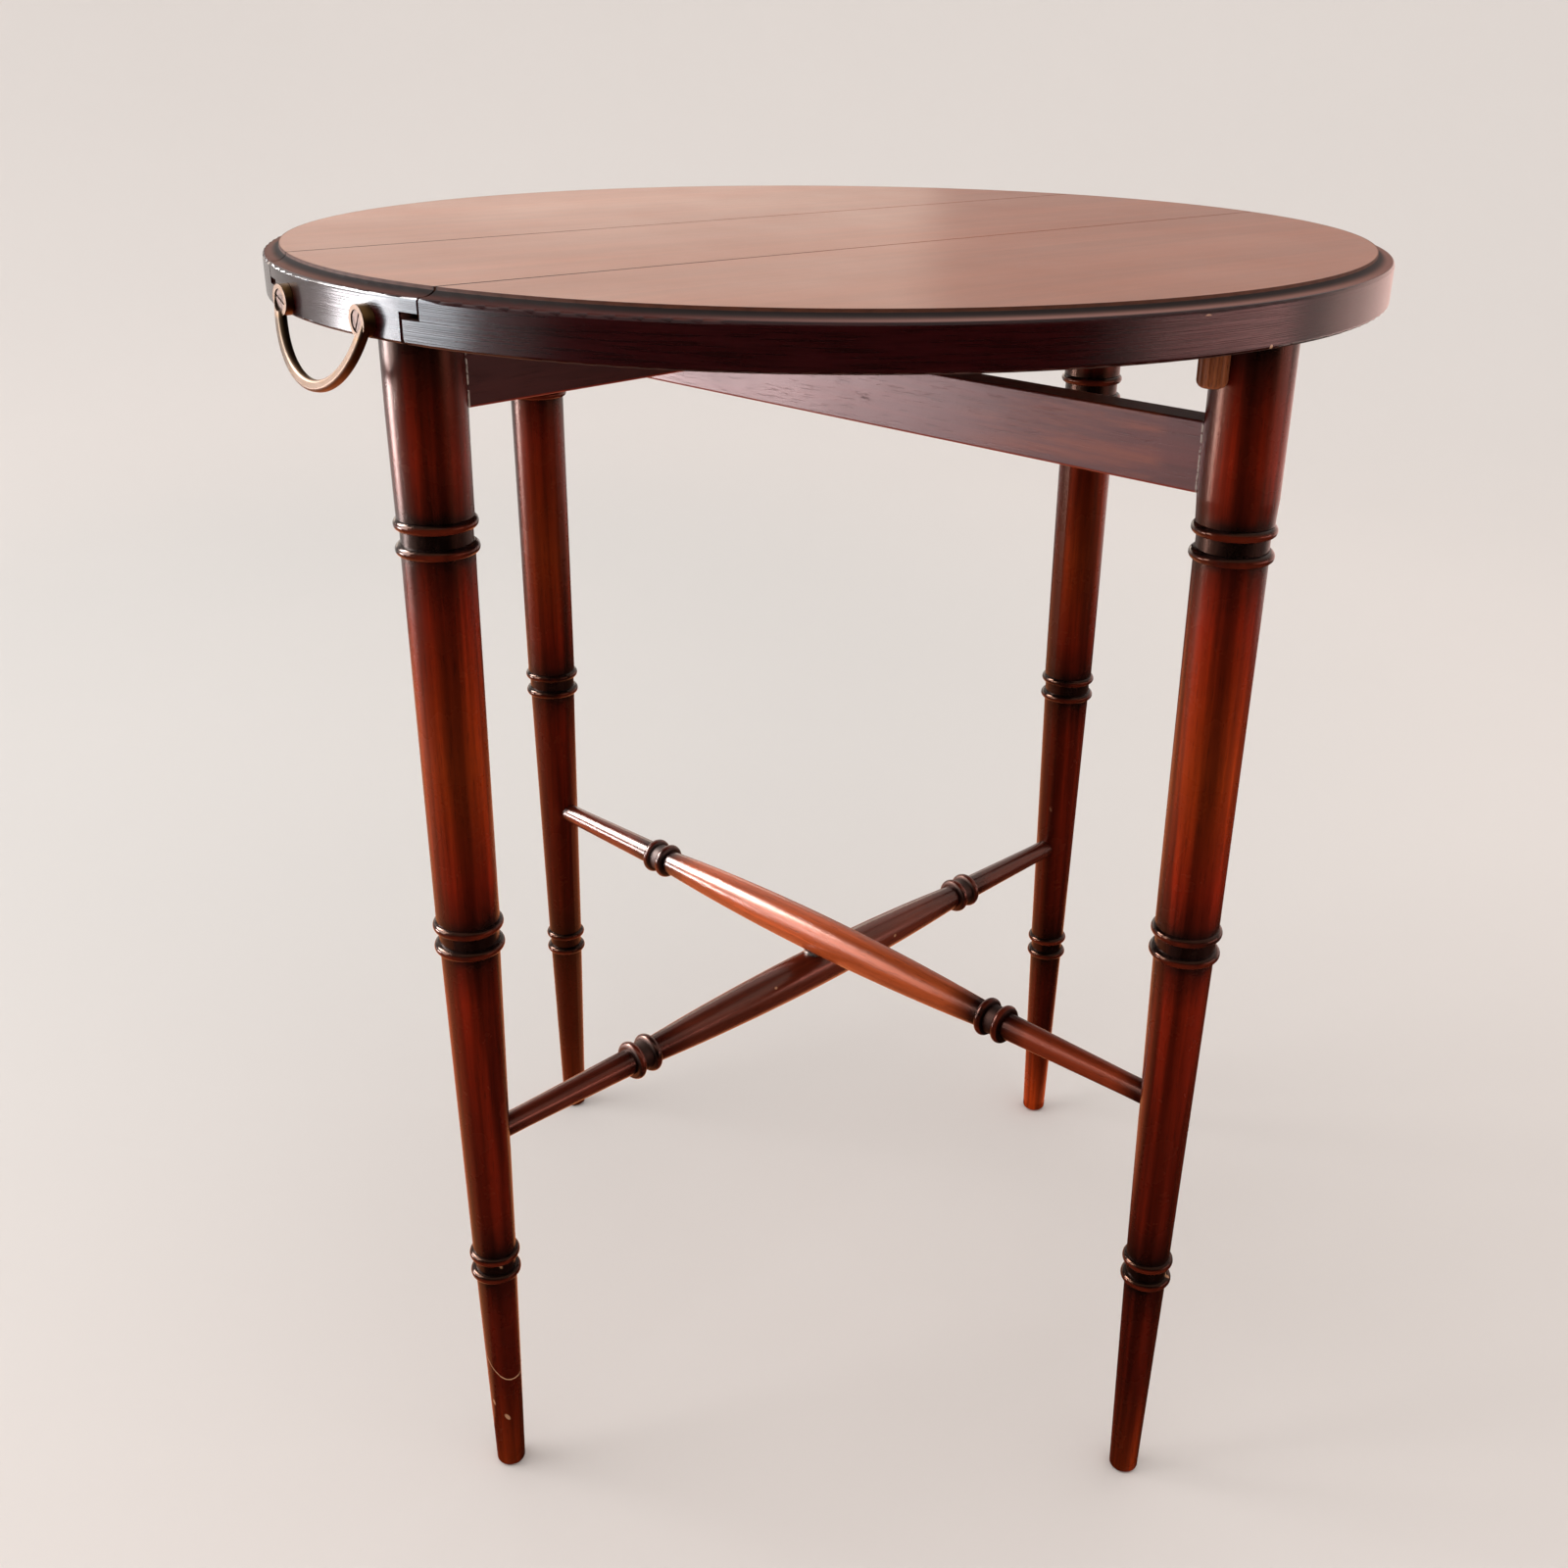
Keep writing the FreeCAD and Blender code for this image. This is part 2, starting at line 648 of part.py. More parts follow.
def handle():
    """Bow with an eye at each end, leaning out toward its bottom, coped to the rim of the board."""
    body = new_body("handle")
    half = s.handle_spacing / 2
    spread = half + s.handle_eye_radius - s.handle_bow_width / 2
    bow_radius = (spread * spread + s.handle_drop * s.handle_drop) / (s.handle_drop * 2)
    centre_rise = bow_radius - s.handle_drop
    centre_x = s.handle_bow_depth / 2 - handle_front_x + centre_rise * sine(s.handle_lean_angle)
    centre_z = handle_eye_z + centre_rise * cosine(s.handle_lean_angle)
    section = new_sketch(body, "XZ_Plane")
    section.AttachmentOffset = FreeCAD.Placement(
        FreeCAD.Vector(), FreeCAD.Rotation(FreeCAD.Vector(0, 0, -1), AXIS_TURN)
    )
    section.setExpression("AttachmentOffset.Base.x", centre_x.text)
    section.setExpression("AttachmentOffset.Base.y", centre_z.text)
    section.setExpression("AttachmentOffset.Rotation.Angle", s.handle_lean_angle.text)
    rounded_rectangle(
        section, ZERO, -bow_radius, s.handle_bow_depth, s.handle_bow_width, s.handle_bow_round
    )
    revolve(body, section, "H_Axis", arc_sine(spread / bow_radius) * 2)
    eyes = new_sketch(body, "YZ_Plane", -handle_front_x)
    recesses = new_sketch(body, "YZ_Plane", s.handle_recess_depth - handle_front_x)
    bores = new_sketch(body, "YZ_Plane", s.handle_spacing - s.top_radius)
    for step in (-1, 1):
        circle(eyes, half * step, handle_eye_z, s.handle_eye_radius)
        circle(recesses, half * step, handle_eye_z, s.handle_recess_radius)
        circle(bores, half * step, handle_eye_z, s.handle_screw_shank + s.seat_gap)
    pad(body, eyes, s.handle_stand_off + s.handle_eye_radius)
    rim = new_sketch(body, "XY_Plane", underside - s.handle_spacing)
    circle(rim, ZERO, ZERO, s.top_radius + s.glue_gap)
    pocket(body, rim, s.handle_spacing * 2)
    pocket(body, recesses, s.handle_recess_depth + CUT_ROOM, forward=False)
    pocket(body, bores, s.handle_spacing + s.handle_stand_off, forward=False)
    return keep(body, "handle")


def rounded_rectangle(sketch, x, y, width, height, radius):
    low_x, high_x = x - width / 2, x + width / 2
    low_y, high_y = y - height / 2, y + height / 2
    corners = [
        (low_x + radius, low_y),
        (high_x - radius, low_y),
        (high_x, low_y + radius),
        (high_x, high_y - radius),
        (high_x - radius, high_y),
        (low_x + radius, high_y),
        (low_x, high_y - radius),
        (low_x, low_y + radius),
    ]
    arcs = {
        1: ((high_x - radius, low_y + radius), True),
        3: ((high_x - radius, high_y - radius), True),
        5: ((low_x + radius, high_y - radius), True),
        7: ((low_x + radius, low_y + radius), True),
    }
    outline(sketch, corners, arcs)


def stop_dowel(label, turn):
    """Fluted dowel that stops the swing leg, glued into a leaf."""
    body = new_body(label)
    sketch = new_sketch(body, "XZ_Plane")
    radius, round_size = s.dowel_radius, s.dowel_end_round
    corners = [
        (ZERO, -s.dowel_drop),
        (radius - round_size, -s.dowel_drop),
        (radius, round_size - s.dowel_drop),
        (radius, s.dowel_insert),
        (ZERO, s.dowel_insert),
    ]
    outline(sketch, corners, {1: ((radius - round_size, round_size - s.dowel_drop), True)})
    revolve(body, sketch, "V_Axis")
    flute = new_sketch(body, "XY_Plane", -s.dowel_drop)
    circle(flute, radius, ZERO, s.dowel_flute_radius)
    cut = pocket(body, flute, s.dowel_drop)
    pattern = body.newObject("PartDesign::PolarPattern", f"{body.Name}_flutes")
    pattern.Originals = [cut]
    pattern.Axis = (sketch, ["V_Axis"])
    pattern.Angle = FULL_TURN
    bind(pattern, Occurrences=s.dowel_flutes)
    body.Tip = pattern
    side = as_dim(1 if turn == 0 else -1)
    place(body, dowel_x * side, dowel_y * side, underside, as_dim(turn))
    return keep(body, label)


def solid(kind, **properties):
    return bind(doc.addObject(f"Part::{kind}", kind), **properties)


def cylinder(radius, height, z=ZERO):
    return place(solid("Cylinder", Radius=radius, Height=height), z=z)


def box(low_x, high_x, low_y, high_y, low_z, high_z):
    shape = solid("Box", Length=high_x - low_x, Width=high_y - low_y, Height=high_z - low_z)
    return place(shape, low_x, low_y, low_z)


def fuse(shapes):
    union = doc.addObject("Part::MultiFuse", "Union")
    union.Shapes = shapes
    return union


def cut_away(base, tool):
    result = doc.addObject("Part::Cut", "Cut")
    result.Base = base
    result.Tool = tool
    return result


def copies(label, pieces, axis=(0, 0, 1)):
    """Separate copies as one node, from pairs of a shape and its x, y, z and angle."""
    group = []
    for shape, (x, y, z, angle) in pieces:
        copy = doc.addObject("Part::Compound", "Copy")
        copy.Links = [shape]
        group.append(place(copy, x, y, z, angle, axis))
    node = doc.addObject("Part::Compound", "Group")
    node.Links = group
    return keep(node, label)


def along_x(radius, low_x, high_x):
    shape = solid("Cylinder", Radius=radius, Height=high_x - low_x)
    return place(shape, low_x, angle=as_dim(HALF_TURN / 2), axis=(0, 1, 0))


def slotted_screw(head, head_radius, shank, length):
    """Screw with its given head down at z = 0, slotted across, and its shank upward."""
    stem = cylinder(shank, length)
    width = s.slot_width / 2
    slot = box(-head_radius, head_radius, -width, width, -s.slot_depth, s.slot_depth)
    return cut_away(fuse([head, stem]), slot)


def countersunk_screw(radius, shank, length):
    head = solid("Cone", Radius1=radius, Radius2=shank, Height=radius - shank)
    return slotted_screw(head, radius, shank, length)


def cheese_screw(radius, height, shank, length):
    return slotted_screw(cylinder(radius, height), radius, shank, length)


def hinge_flap(side):
    """One flap about its pin: side 1 reaches +Y and holds the middle knuckle, side -1 the outer two."""
    half = s.hinge_length / 2
    middle = half * s.knuckle_share
    bottom = -s.hinge_pin_rise
    top = bottom + s.hinge_flap_thickness
    near_edge = s.knuckle_radius + s.knuckle_gap
    if side > 0:
        spans = [(s.knuckle_gap / 2 - middle, middle - s.knuckle_gap / 2)]
        plate = box(-half, half, near_edge, s.hinge_flap_reach, bottom, top)
        bore = s.hinge_pin_radius + s.running_gap / 2
    else:
        spans = [(-half, -middle - s.knuckle_gap / 2), (middle + s.knuckle_gap / 2, half)]
        plate = box(-half, half, -s.hinge_flap_reach, -near_edge, bottom, top)
        bore = s.hinge_pin_radius + s.running_gap
    pieces = [plate]
    for low, high in spans:
        web = (ZERO, near_edge) if side > 0 else (-near_edge, ZERO)
        pieces.append(box(low, high, *web, bottom, top))
        pieces.append(along_x(s.knuckle_radius, low, high))
    tools = [along_x(bore, -s.hinge_length, s.hinge_length)]
    for step in (-1, 0, 1):
        head = s.hinge_screw_head + s.seat_gap
        shank = s.hinge_screw_shank + s.seat_gap
        sink = solid("Cone", Radius1=head, Radius2=shank, Height=head - shank)
        through = cylinder(shank, s.hinge_flap_thickness * 2)
        for tool in (sink, through):
            place(tool, s.hinge_screw_pitch * step, s.hinge_screw_reach * side, bottom)
            tools.append(tool)
    return cut_away(fuse(pieces), fuse(tools))


def leaf_hinges():
    """Flaps, pins and screws of the hinges, in the groups that move together."""
    board_flap, leaf_flap = hinge_flap(1), hinge_flap(-1)
    pin = along_x(s.hinge_pin_radius, -s.hinge_length / 2, s.hinge_length / 2)
    screw = countersunk_screw(s.hinge_screw_head, s.hinge_screw_shank, s.hinge_screw_length)
    pins, board_screws = [], []
    for side, name in ((-1, "near"), (1, "far")):
        turn = as_dim(0 if side < 0 else HALF_TURN)
        spots = [(x, y, pin_z, turn) for x, y in hinge_places(pin_y * side)]
        copies(f"{name}_hinge_board_flaps", [(board_flap, spot) for spot in spots])
        copies(f"{name}_hinge_leaf_flaps", [(leaf_flap, spot) for spot in spots])
        leaf_screws = hinge_screw_places(pin_y * side, side)
        copies(f"{name}_hinge_leaf_screws", [(screw, (x, y, underside, ZERO)) for x, y in leaf_screws])
        board_spots = hinge_screw_places(pin_y * side, -side)
        board_screws += [(screw, (x, y, underside, ZERO)) for x, y in board_spots]
        pins += [(pin, spot) for spot in spots]
    copies("hinge_pins", pins)
    copies("hinge_board_screws", board_screws)


def ring(label, radius, bore, thickness, z):
    return keep(cut_away(cylinder(radius, thickness, z), cylinder(bore, thickness, z)), label)


def pivot():
    """Bolt, washers and nut on which the swing frame turns under the fixed rail."""
    bore = s.pivot_bolt_radius + s.running_gap
    washer_z = swing_rail_bottom + s.pivot_nut_sink - s.pivot_washer_thickness
    nut_z = washer_z - s.pivot_nut_height
    head_z = underside - s.pivot_head_sink
    head = solid("Prism", Circumradius=s.pivot_head_radius, Height=s.pivot_head_height)
    place(head, z=head_z)
    stem = cylinder(s.pivot_bolt_radius, head_z - nut_z, nut_z)
    keep(fuse([head, stem]), "pivot_bolt")
    ring("rail_washer", s.rail_washer_radius, bore, s.rail_gap, swing_rail_top)
    ring("pivot_washer", s.pivot_washer_radius, bore, s.pivot_washer_thickness, washer_z)
    hexagon = place(solid("Prism", Circumradius=s.pivot_nut_radius, Height=s.pivot_nut_height), z=nut_z)
    keep(cut_away(hexagon, cylinder(bore, s.pivot_nut_height, nut_z)), "pivot_nut")


def stretcher_pivot():
    """Headed pin through the lower stretcher into the upper one, with a washer between them."""
    flat_z = fixed_stretcher_height + stretcher_flat
    bore = s.stretcher_pin_radius + s.running_gap
    ring("stretcher_washer", s.stretcher_washer_radius, bore, s.stretcher_washer_thickness, flat_z)
    head_top = fixed_stretcher_height - s.stretcher_middle_radius + s.stretcher_pin_sink
    head_height = s.stretcher_pin_sink / 2
    head = cylinder(s.stretcher_pin_head, head_height, head_top - head_height)
    top = swing_stretcher_height + s.stretcher_pin_bite
    stem = cylinder(s.stretcher_pin_radius, top - head_top, head_top)
    keep(fuse([head, stem]), "stretcher_pin")


def rail_screws():
    """Screws up through the fixed rail into the board, with their heads deep in the rail."""
    screw = cheese_screw(
        s.rail_screw_head, s.rail_screw_head_height, s.rail_screw_shank, s.rail_screw_length
    )
    head_z = fixed_rail_bottom + s.rail_screw_sink - s.rail_screw_head_height
    pieces = []
    for step in (-1, 1):
        x, y = turned(s.fixed_angle, s.rail_screw_reach * step, ZERO)
        pieces.append((screw, (x, y, head_z, s.fixed_angle)))
    copies("rail_screws", pieces)


def handle_screws():
    """Screws in the handle's eyes, each with its slot turned its own way."""
    screw = cheese_screw(
        s.handle_screw_head, s.handle_screw_head_height, s.handle_screw_shank, s.handle_screw_length
    )
    quarter = as_dim(HALF_TURN / 2)
    pieces = []
    for step, slot_turn in ((-1, s.near_slot_angle), (1, s.far_slot_angle)):
        turned_screw = doc.addObject("Part::Compound", "TurnedScrew")
        turned_screw.Links = [screw]
        place(turned_screw, angle=slot_turn)
        pieces.append((turned_screw, (handle_head_x, s.handle_spacing / 2 * step, handle_eye_z, quarter)))
    copies("handle_screws", pieces, axis=(0, 1, 0))


def build():
    centre_board()
    for label, turn in (("near_leaf", 0), ("far_leaf", HALF_TURN)):
        leaf(label, turn)
    fixed_rail()
    swing_rail()
    fixed = (fixed_leg_reach, underside, fixed_rail_bottom, underside, fixed_stretcher_height)
    leg("fixed_leg_far_end", s.fixed_angle, *fixed)
    leg("fixed_leg_handle_end", s.fixed_angle + HALF_TURN, *fixed)
    leg_top = underside - s.leg_top_gap
    swing = (swing_leg_reach, leg_top, swing_rail_bottom, swing_rail_top, swing_stretcher_height)
    leg("swing_leg_far", swing_angle, *swing)
    leg("swing_leg_near", swing_angle + HALF_TURN, *swing)
    stretcher("fixed_stretcher", s.fixed_angle, fixed_leg_reach, fixed_stretcher_height, True)
    stretcher("swing_stretcher", swing_angle, swing_leg_reach, swing_stretcher_height, False)
    handle()
    handle_screws()
    stop_dowel("near_stop_dowel", 0)
    stop_dowel("far_stop_dowel", HALF_TURN)
    leaf_hinges()
    rail_screws()
    pivot()
    stretcher_pivot()


def check():
    doc.recompute()
    faults = [obj.Name for obj in doc.Objects if "Invalid" in obj.State or "Error" in obj.State]
    for node in nodes:
        if node.Shape.isNull() or not node.Shape.isValid():
            faults.append(node.Label)
    if faults:
        raise RuntimeError(f"failed pieces: {faults}")


def write():
    os.makedirs("parts", exist_ok=True)
    for node in nodes:
        solids = node.Shape.Solids
        shape = solids[0] if len(solids) == 1 else Part.makeCompound(solids)
        shape.exportStep(os.path.join("parts", f"{node.Label}.step"))
        print(f"{node.Label}: {len(solids)} solids, {node.Shape.Volume:.0f} mm3")


build()
check()
write()
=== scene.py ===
import math
import bmesh
import bpy
from mathutils import Matrix, Vector


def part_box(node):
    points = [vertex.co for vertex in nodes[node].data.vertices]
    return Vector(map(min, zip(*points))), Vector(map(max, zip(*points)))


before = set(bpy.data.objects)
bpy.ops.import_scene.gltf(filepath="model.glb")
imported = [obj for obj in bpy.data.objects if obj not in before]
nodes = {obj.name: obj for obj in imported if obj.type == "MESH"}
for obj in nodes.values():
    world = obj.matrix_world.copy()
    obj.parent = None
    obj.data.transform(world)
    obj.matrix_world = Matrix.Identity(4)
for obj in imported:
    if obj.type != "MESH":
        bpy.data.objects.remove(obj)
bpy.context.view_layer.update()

quarterTurn = math.pi / 2
print("table frame loaded:", len(nodes), "nodes")


# node helpers shared by every finish

def addNode(tree, kind, inputs, **options):
    made = tree.nodes.new("ShaderNode" + kind)
    for key, value in options.items():
        setattr(made, key, value)
    for key, value in inputs.items():
        if isinstance(value, bpy.types.NodeSocket):
            tree.links.new(value, made.inputs[key])
        else:
            made.inputs[key].default_value = value
    return made


def sums(tree, operation, first, second=0.0):
    return addNode(tree, "Math", {0: first, 1: second}, operation=operation).outputs[0]


def plus(tree, first, second):
    return sums(tree, "ADD", first, second)


def minus(tree, first, second):
    return sums(tree, "SUBTRACT", first, second)


def times(tree, first, second):
    return sums(tree, "MULTIPLY", first, second)


def fade(tree, value, low, high):  # 0 below low, 1 above high; low above high turns it round
    inputs = {"Value": value, "From Min": low, "From Max": high}
    return addNode(tree, "MapRange", inputs, interpolation_type="SMOOTHSTEP").outputs[0]


def mixColours(tree, share, first, second, way="MIX"):
    inputs = {0: share, 6: first, 7: second}  # factor, first colour, second colour
    return addNode(tree, "Mix", inputs, data_type="RGBA", blend_type=way).outputs[2]


def rampColours(tree, share, stops):
    made = addNode(tree, "ValToRGB", {"Fac": share})
    points = made.color_ramp.elements
    points[0].position, points[0].color = stops[0][0], (*stops[0][1], 1.0)
    points[1].position, points[1].color = stops[-1][0], (*stops[-1][1], 1.0)
    for position, colour in stops[1:-1]:
        points.new(position).color = (*colour, 1.0)
    return made.outputs["Color"]


def objectPlace(tree, turn=(0.0, 0.0, 0.0), shift=(0.0, 0.0, 0.0)):
    spot = addNode(tree, "TexCoord", {}).outputs["Object"]
    return addNode(tree, "Mapping", {"Vector": spot, "Location": shift, "Rotation": turn}).outputs[0]


def stretched(tree, place, scale):
    return addNode(tree, "Mapping", {"Vector": place, "Scale": scale}).outputs[0]


def cloud(tree, place, scale=1.0, detail=3.0, rough=0.5, bend=0.0):
    inputs = {"Vector": place, "Scale": scale, "Detail": detail, "Roughness": rough, "Distortion": bend}
    return addNode(tree, "TexNoise", inputs).outputs["Fac"]


def parts(tree, place):
    made = addNode(tree, "SeparateXYZ", {"Vector": place})
    return made.outputs[0], made.outputs[1], made.outputs[2]


def lengthOf(tree, first, second):
    return sums(tree, "SQRT", plus(tree, times(tree, first, first), times(tree, second, second)))


def distanceTo(tree, place, spot):
    return addNode(tree, "VectorMath", {0: place, 1: spot}, operation="DISTANCE").outputs["Value"]


def relief(tree, height, strength, depth):
    inputs = {"Height": height, "Strength": strength, "Distance": depth}
    return addNode(tree, "Bump", inputs).outputs[0]


def scaled(colour, amount):
    return tuple(part * amount for part in colour)


def grey(amount):
    return (amount, amount, amount, 1.0)


def newFinish(name):
    made = bpy.data.materials.new(name)
    made.use_nodes = True
    tree = made.node_tree
    return made, tree, tree.nodes["Principled BSDF"]


def dress(finish, *names):
    for name in names:
        mesh = nodes[name].data
        if not mesh.materials:
            mesh.materials.append(finish)
        for number in range(len(mesh.materials)):
            mesh.materials[number] = finish


# mahogany: long fibres, fine dark pores and slow cloudy figure, with the grain along x of place

mahoganyLook = {
    "fibreSpan": (0.36, 0.68),
    "figureSpan": (0.32, 0.70),
    "poreSpan": (0.60, 0.70),
    "pore": (0.006, 0.002, 0.001, 1.0),
}


def mahogany(tree, place, colour, grain):
    look = mahoganyLook
    fibrePlace = stretched(tree, place, (grain["along"], grain["across"], grain["across"]))
    fibres = cloud(tree, fibrePlace, detail=5.0, rough=0.6, bend=0.3)
    figure = cloud(tree, stretched(tree, place, grain["figure"]), detail=2.0, bend=0.6)
    pores = cloud(tree, stretched(tree, place, grain["pores"]), detail=2.0)
    tone = colour
    for value, span, swing in (
        (fibres, look["fibreSpan"], grain["streak"]),
        (figure, look["figureSpan"], grain["cloud"]),
    ):
        lifted = mixColours(tree, fade(tree, value, *span), grey(1.0 - swing), grey(1.0 + swing))
        tone = mixColours(tree, 1.0, tone, lifted, "MULTIPLY")
    poreMask = fade(tree, pores, *look["poreSpan"])
    tone = mixColours(tree, times(tree, poreMask, grain["poreDark"]), tone, look["pore"])
    return tone, fibres, poreMask


def unevenGloss(tree, place, rough):  # roughness that drifts over the surface
    drift = cloud(tree, place, rough["cells"], detail=4.0, rough=0.6)
    return plus(tree, rough["base"], times(tree, drift, rough["spread"]))


def grainHeight(tree, fibres, poreMask, grain):
    raised = times(tree, fibres, grain["fibreRise"])
    return minus(tree, raised, times(tree, poreMask, grain["poreSink"]))


# small pale chips and rubs, one in each few cells of a stretched net

chipLook = {"pickEdge": 0.02, "core": 0.6}


def chips(tree, place, look):
    net = addNode(tree, "TexVoronoi", {"Vector": stretched(tree, place, look["net"]), "Scale": 1.0})
    pick = parts(tree, net.outputs["Color"])[0]
    chosen = fade(tree, pick, look["rarity"], look["rarity"] + chipLook["pickEdge"])
    core = look["size"] * chipLook["core"]
    return times(tree, fade(tree, net.outputs["Distance"], look["size"], core), chosen)


# lacquered round top: field, dark cove with painted light and shade, rim and dull underside

roundTop = {
    "nodes": ("centre_board", "near_leaf", "far_leaf"),
    "field": (0.30, 0.085, 0.035, 1.0),
    # painted shade: near black where the cove meets the field
    "quirkShade": (0.014, 0.007, 0.006, 1.0),
    "cove": (  # share of the way across, tone: painted light, dark, painted light
        (0.10, (0.140, 0.064, 0.048)), (0.24, (0.056, 0.015, 0.012)),
        (0.37, (0.066, 0.018, 0.015)), (0.60, (0.200, 0.085, 0.065)),
    ),
    "across": (0.775, -0.632),  # from the handle side to the near right
    "acrossSpan": (-0.28, 0.28),
    "rim": (0.026, 0.0022, 0.0026, 1.0),
    "under": (0.085, 0.030, 0.016, 1.0),
    "underDark": 0.02,
    "nick": (0.46, 0.27, 0.17, 1.0),
    "coveReach": (0.2712, 0.2724),  # from the middle of the table
    "satinReach": (0.2732, 0.2768),
    "lipReach": (0.2770, 0.2782),
    "rimReach": (0.2786, 0.2794),
    "lipLevel": (0.6582, 0.6592),
    "underLevel": (0.6428, 0.6422),
    "smears": {"scale": (30.0, 30.0, 700.0), "span": (0.35, 0.70), "share": 0.5},
    "nicks": {"net": (75.0, 75.0, 160.0), "size": 0.16, "rarity": 0.92},
    "fleck": {"spot": (-0.0015, -0.28, 0.6432), "size": (0.0011, 0.0008)},
    "rough": {"base": 0.30, "cells": 9.0, "spread": 0.12, "cove": 0.44, "rim": -0.15, "under": 0.3},
    "brush": {"scale": (12.0, 12.0, 2600.0), "rise": 2.2},
    "relief": (0.12, 0.0004),  # strength, depth
    "gloss": 0.25,
    "coveGloss": {"span": (0.35, 0.60), "low": 0.04, "rise": 0.24},
    "jointShade": {  # painted shade along the joints, most at the handle end
        "offset": 0.0706, "edge": (0.0017, 0.0007), "along": (0.08, -0.24), "share": 0.8,
        "tone": (0.050, 0.016, 0.008, 1.0),
    },
    "grain": {
        "along": 5.0, "across": 150.0, "figure": (1.6, 16.0, 16.0), "pores": (70.0, 1500.0, 1500.0),
        "streak": 0.06, "cloud": 0.07, "poreDark": 0.12, "fibreRise": 0.10, "poreSink": 0.25,
    },
}


def acrossTop(tree, x, y):  # 0 at the handle side, 1 at the near right
    ahead, aside = roundTop["across"]
    low, high = roundTop["acrossSpan"]
    spot = plus(tree, times(tree, x, ahead), times(tree, y, aside))
    return times(tree, minus(tree, spot, low), 1.0 / (high - low))


# painted shade beside the gaps between the boards, darkest at the handle end
def shadeBesideJoints(tree, field, x, y):
    jointShade = roundTop["jointShade"]
    beside = sums(tree, "ABSOLUTE", minus(tree, sums(tree, "ABSOLUTE", y), jointShade["offset"]))
    gapShade = times(tree, fade(tree, beside, *jointShade["edge"]), fade(tree, x, *jointShade["along"]))
    return mixColours(tree, times(tree, gapShade, jointShade["share"]), field, jointShade["tone"])


def topGloss(tree, coveMask, share):
    gloss, cove = roundTop["gloss"], roundTop["coveGloss"]
    inCove = plus(tree, cove["low"], times(tree, fade(tree, share, *cove["span"]), cove["rise"]))
    return plus(tree, gloss, times(tree, coveMask, minus(tree, inCove, gloss)))


def topFinish():
    top = roundTop
    made, tree, shader = newFinish("topLacquer")
    place = objectPlace(tree)
    x, y, z = parts(tree, place)
    reach = lengthOf(tree, x, y)
    outside = fade(tree, reach, *top["coveReach"])
    rimMask = fade(tree, reach, *top["rimReach"])
    coveMask = minus(tree, outside, rimMask)
    underMask = fade(tree, z, *top["underLevel"])
    field, fibres, poreMask = mahogany(tree, place, top["field"], top["grain"])
    share = acrossTop(tree, x, y)
    # the cove's tone across the table is painted light and shade
    cove = rampColours(tree, share, top["cove"])
    coveLightAndShade = mixColours(tree, fade(tree, reach, *top["satinReach"]), top["quirkShade"], cove)
    tone = mixColours(tree, outside, shadeBesideJoints(tree, field, x, y), coveLightAndShade)
    smears = cloud(tree, stretched(tree, place, top["smears"]["scale"]), rough=0.6)
    smeared = mixColours(tree, fade(tree, smears, *top["smears"]["span"]), top["rim"], grey(0.0))
    tone = mixColours(tree, rimMask, tone, mixColours(tree, top["smears"]["share"], top["rim"], smeared))
    lip = times(tree, fade(tree, reach, *top["lipReach"]), fade(tree, z, *top["lipLevel"]))
    nicks = times(tree, chips(tree, place, top["nicks"]), lip)
    fleck = fade(tree, distanceTo(tree, place, top["fleck"]["spot"]), *top["fleck"]["size"])
    tone = mixColours(tree, sums(tree, "MAXIMUM", nicks, fleck), tone, top["nick"])
    under = mixColours(tree, fibres, top["under"], grey(top["underDark"]))
    tone = mixColours(tree, underMask, tone, under)
    tree.links.new(tone, shader.inputs["Base Color"])
    rough = top["rough"]
    dull = unevenGloss(tree, place, rough)
    for mask, change in ((coveMask, rough["cove"]), (rimMask, rough["rim"]), (underMask, rough["under"])):
        dull = plus(tree, dull, times(tree, mask, change))
    tree.links.new(dull, shader.inputs["Roughness"])
    brushed = cloud(tree, stretched(tree, place, top["brush"]["scale"]), detail=2.0)
    brushed = times(tree, times(tree, brushed, top["brush"]["rise"]), rimMask)
    height = plus(tree, grainHeight(tree, fibres, poreMask, top["grain"]), brushed)
    tree.links.new(relief(tree, height, *top["relief"]), shader.inputs["Normal"])
    tree.links.new(topGloss(tree, coveMask, share), shader.inputs["Specular IOR Level"])
    dress(made, *top["nodes"])


topFinish()
print("round top lacquered")


# turned legs: amber between the rings, shaded to near black at them

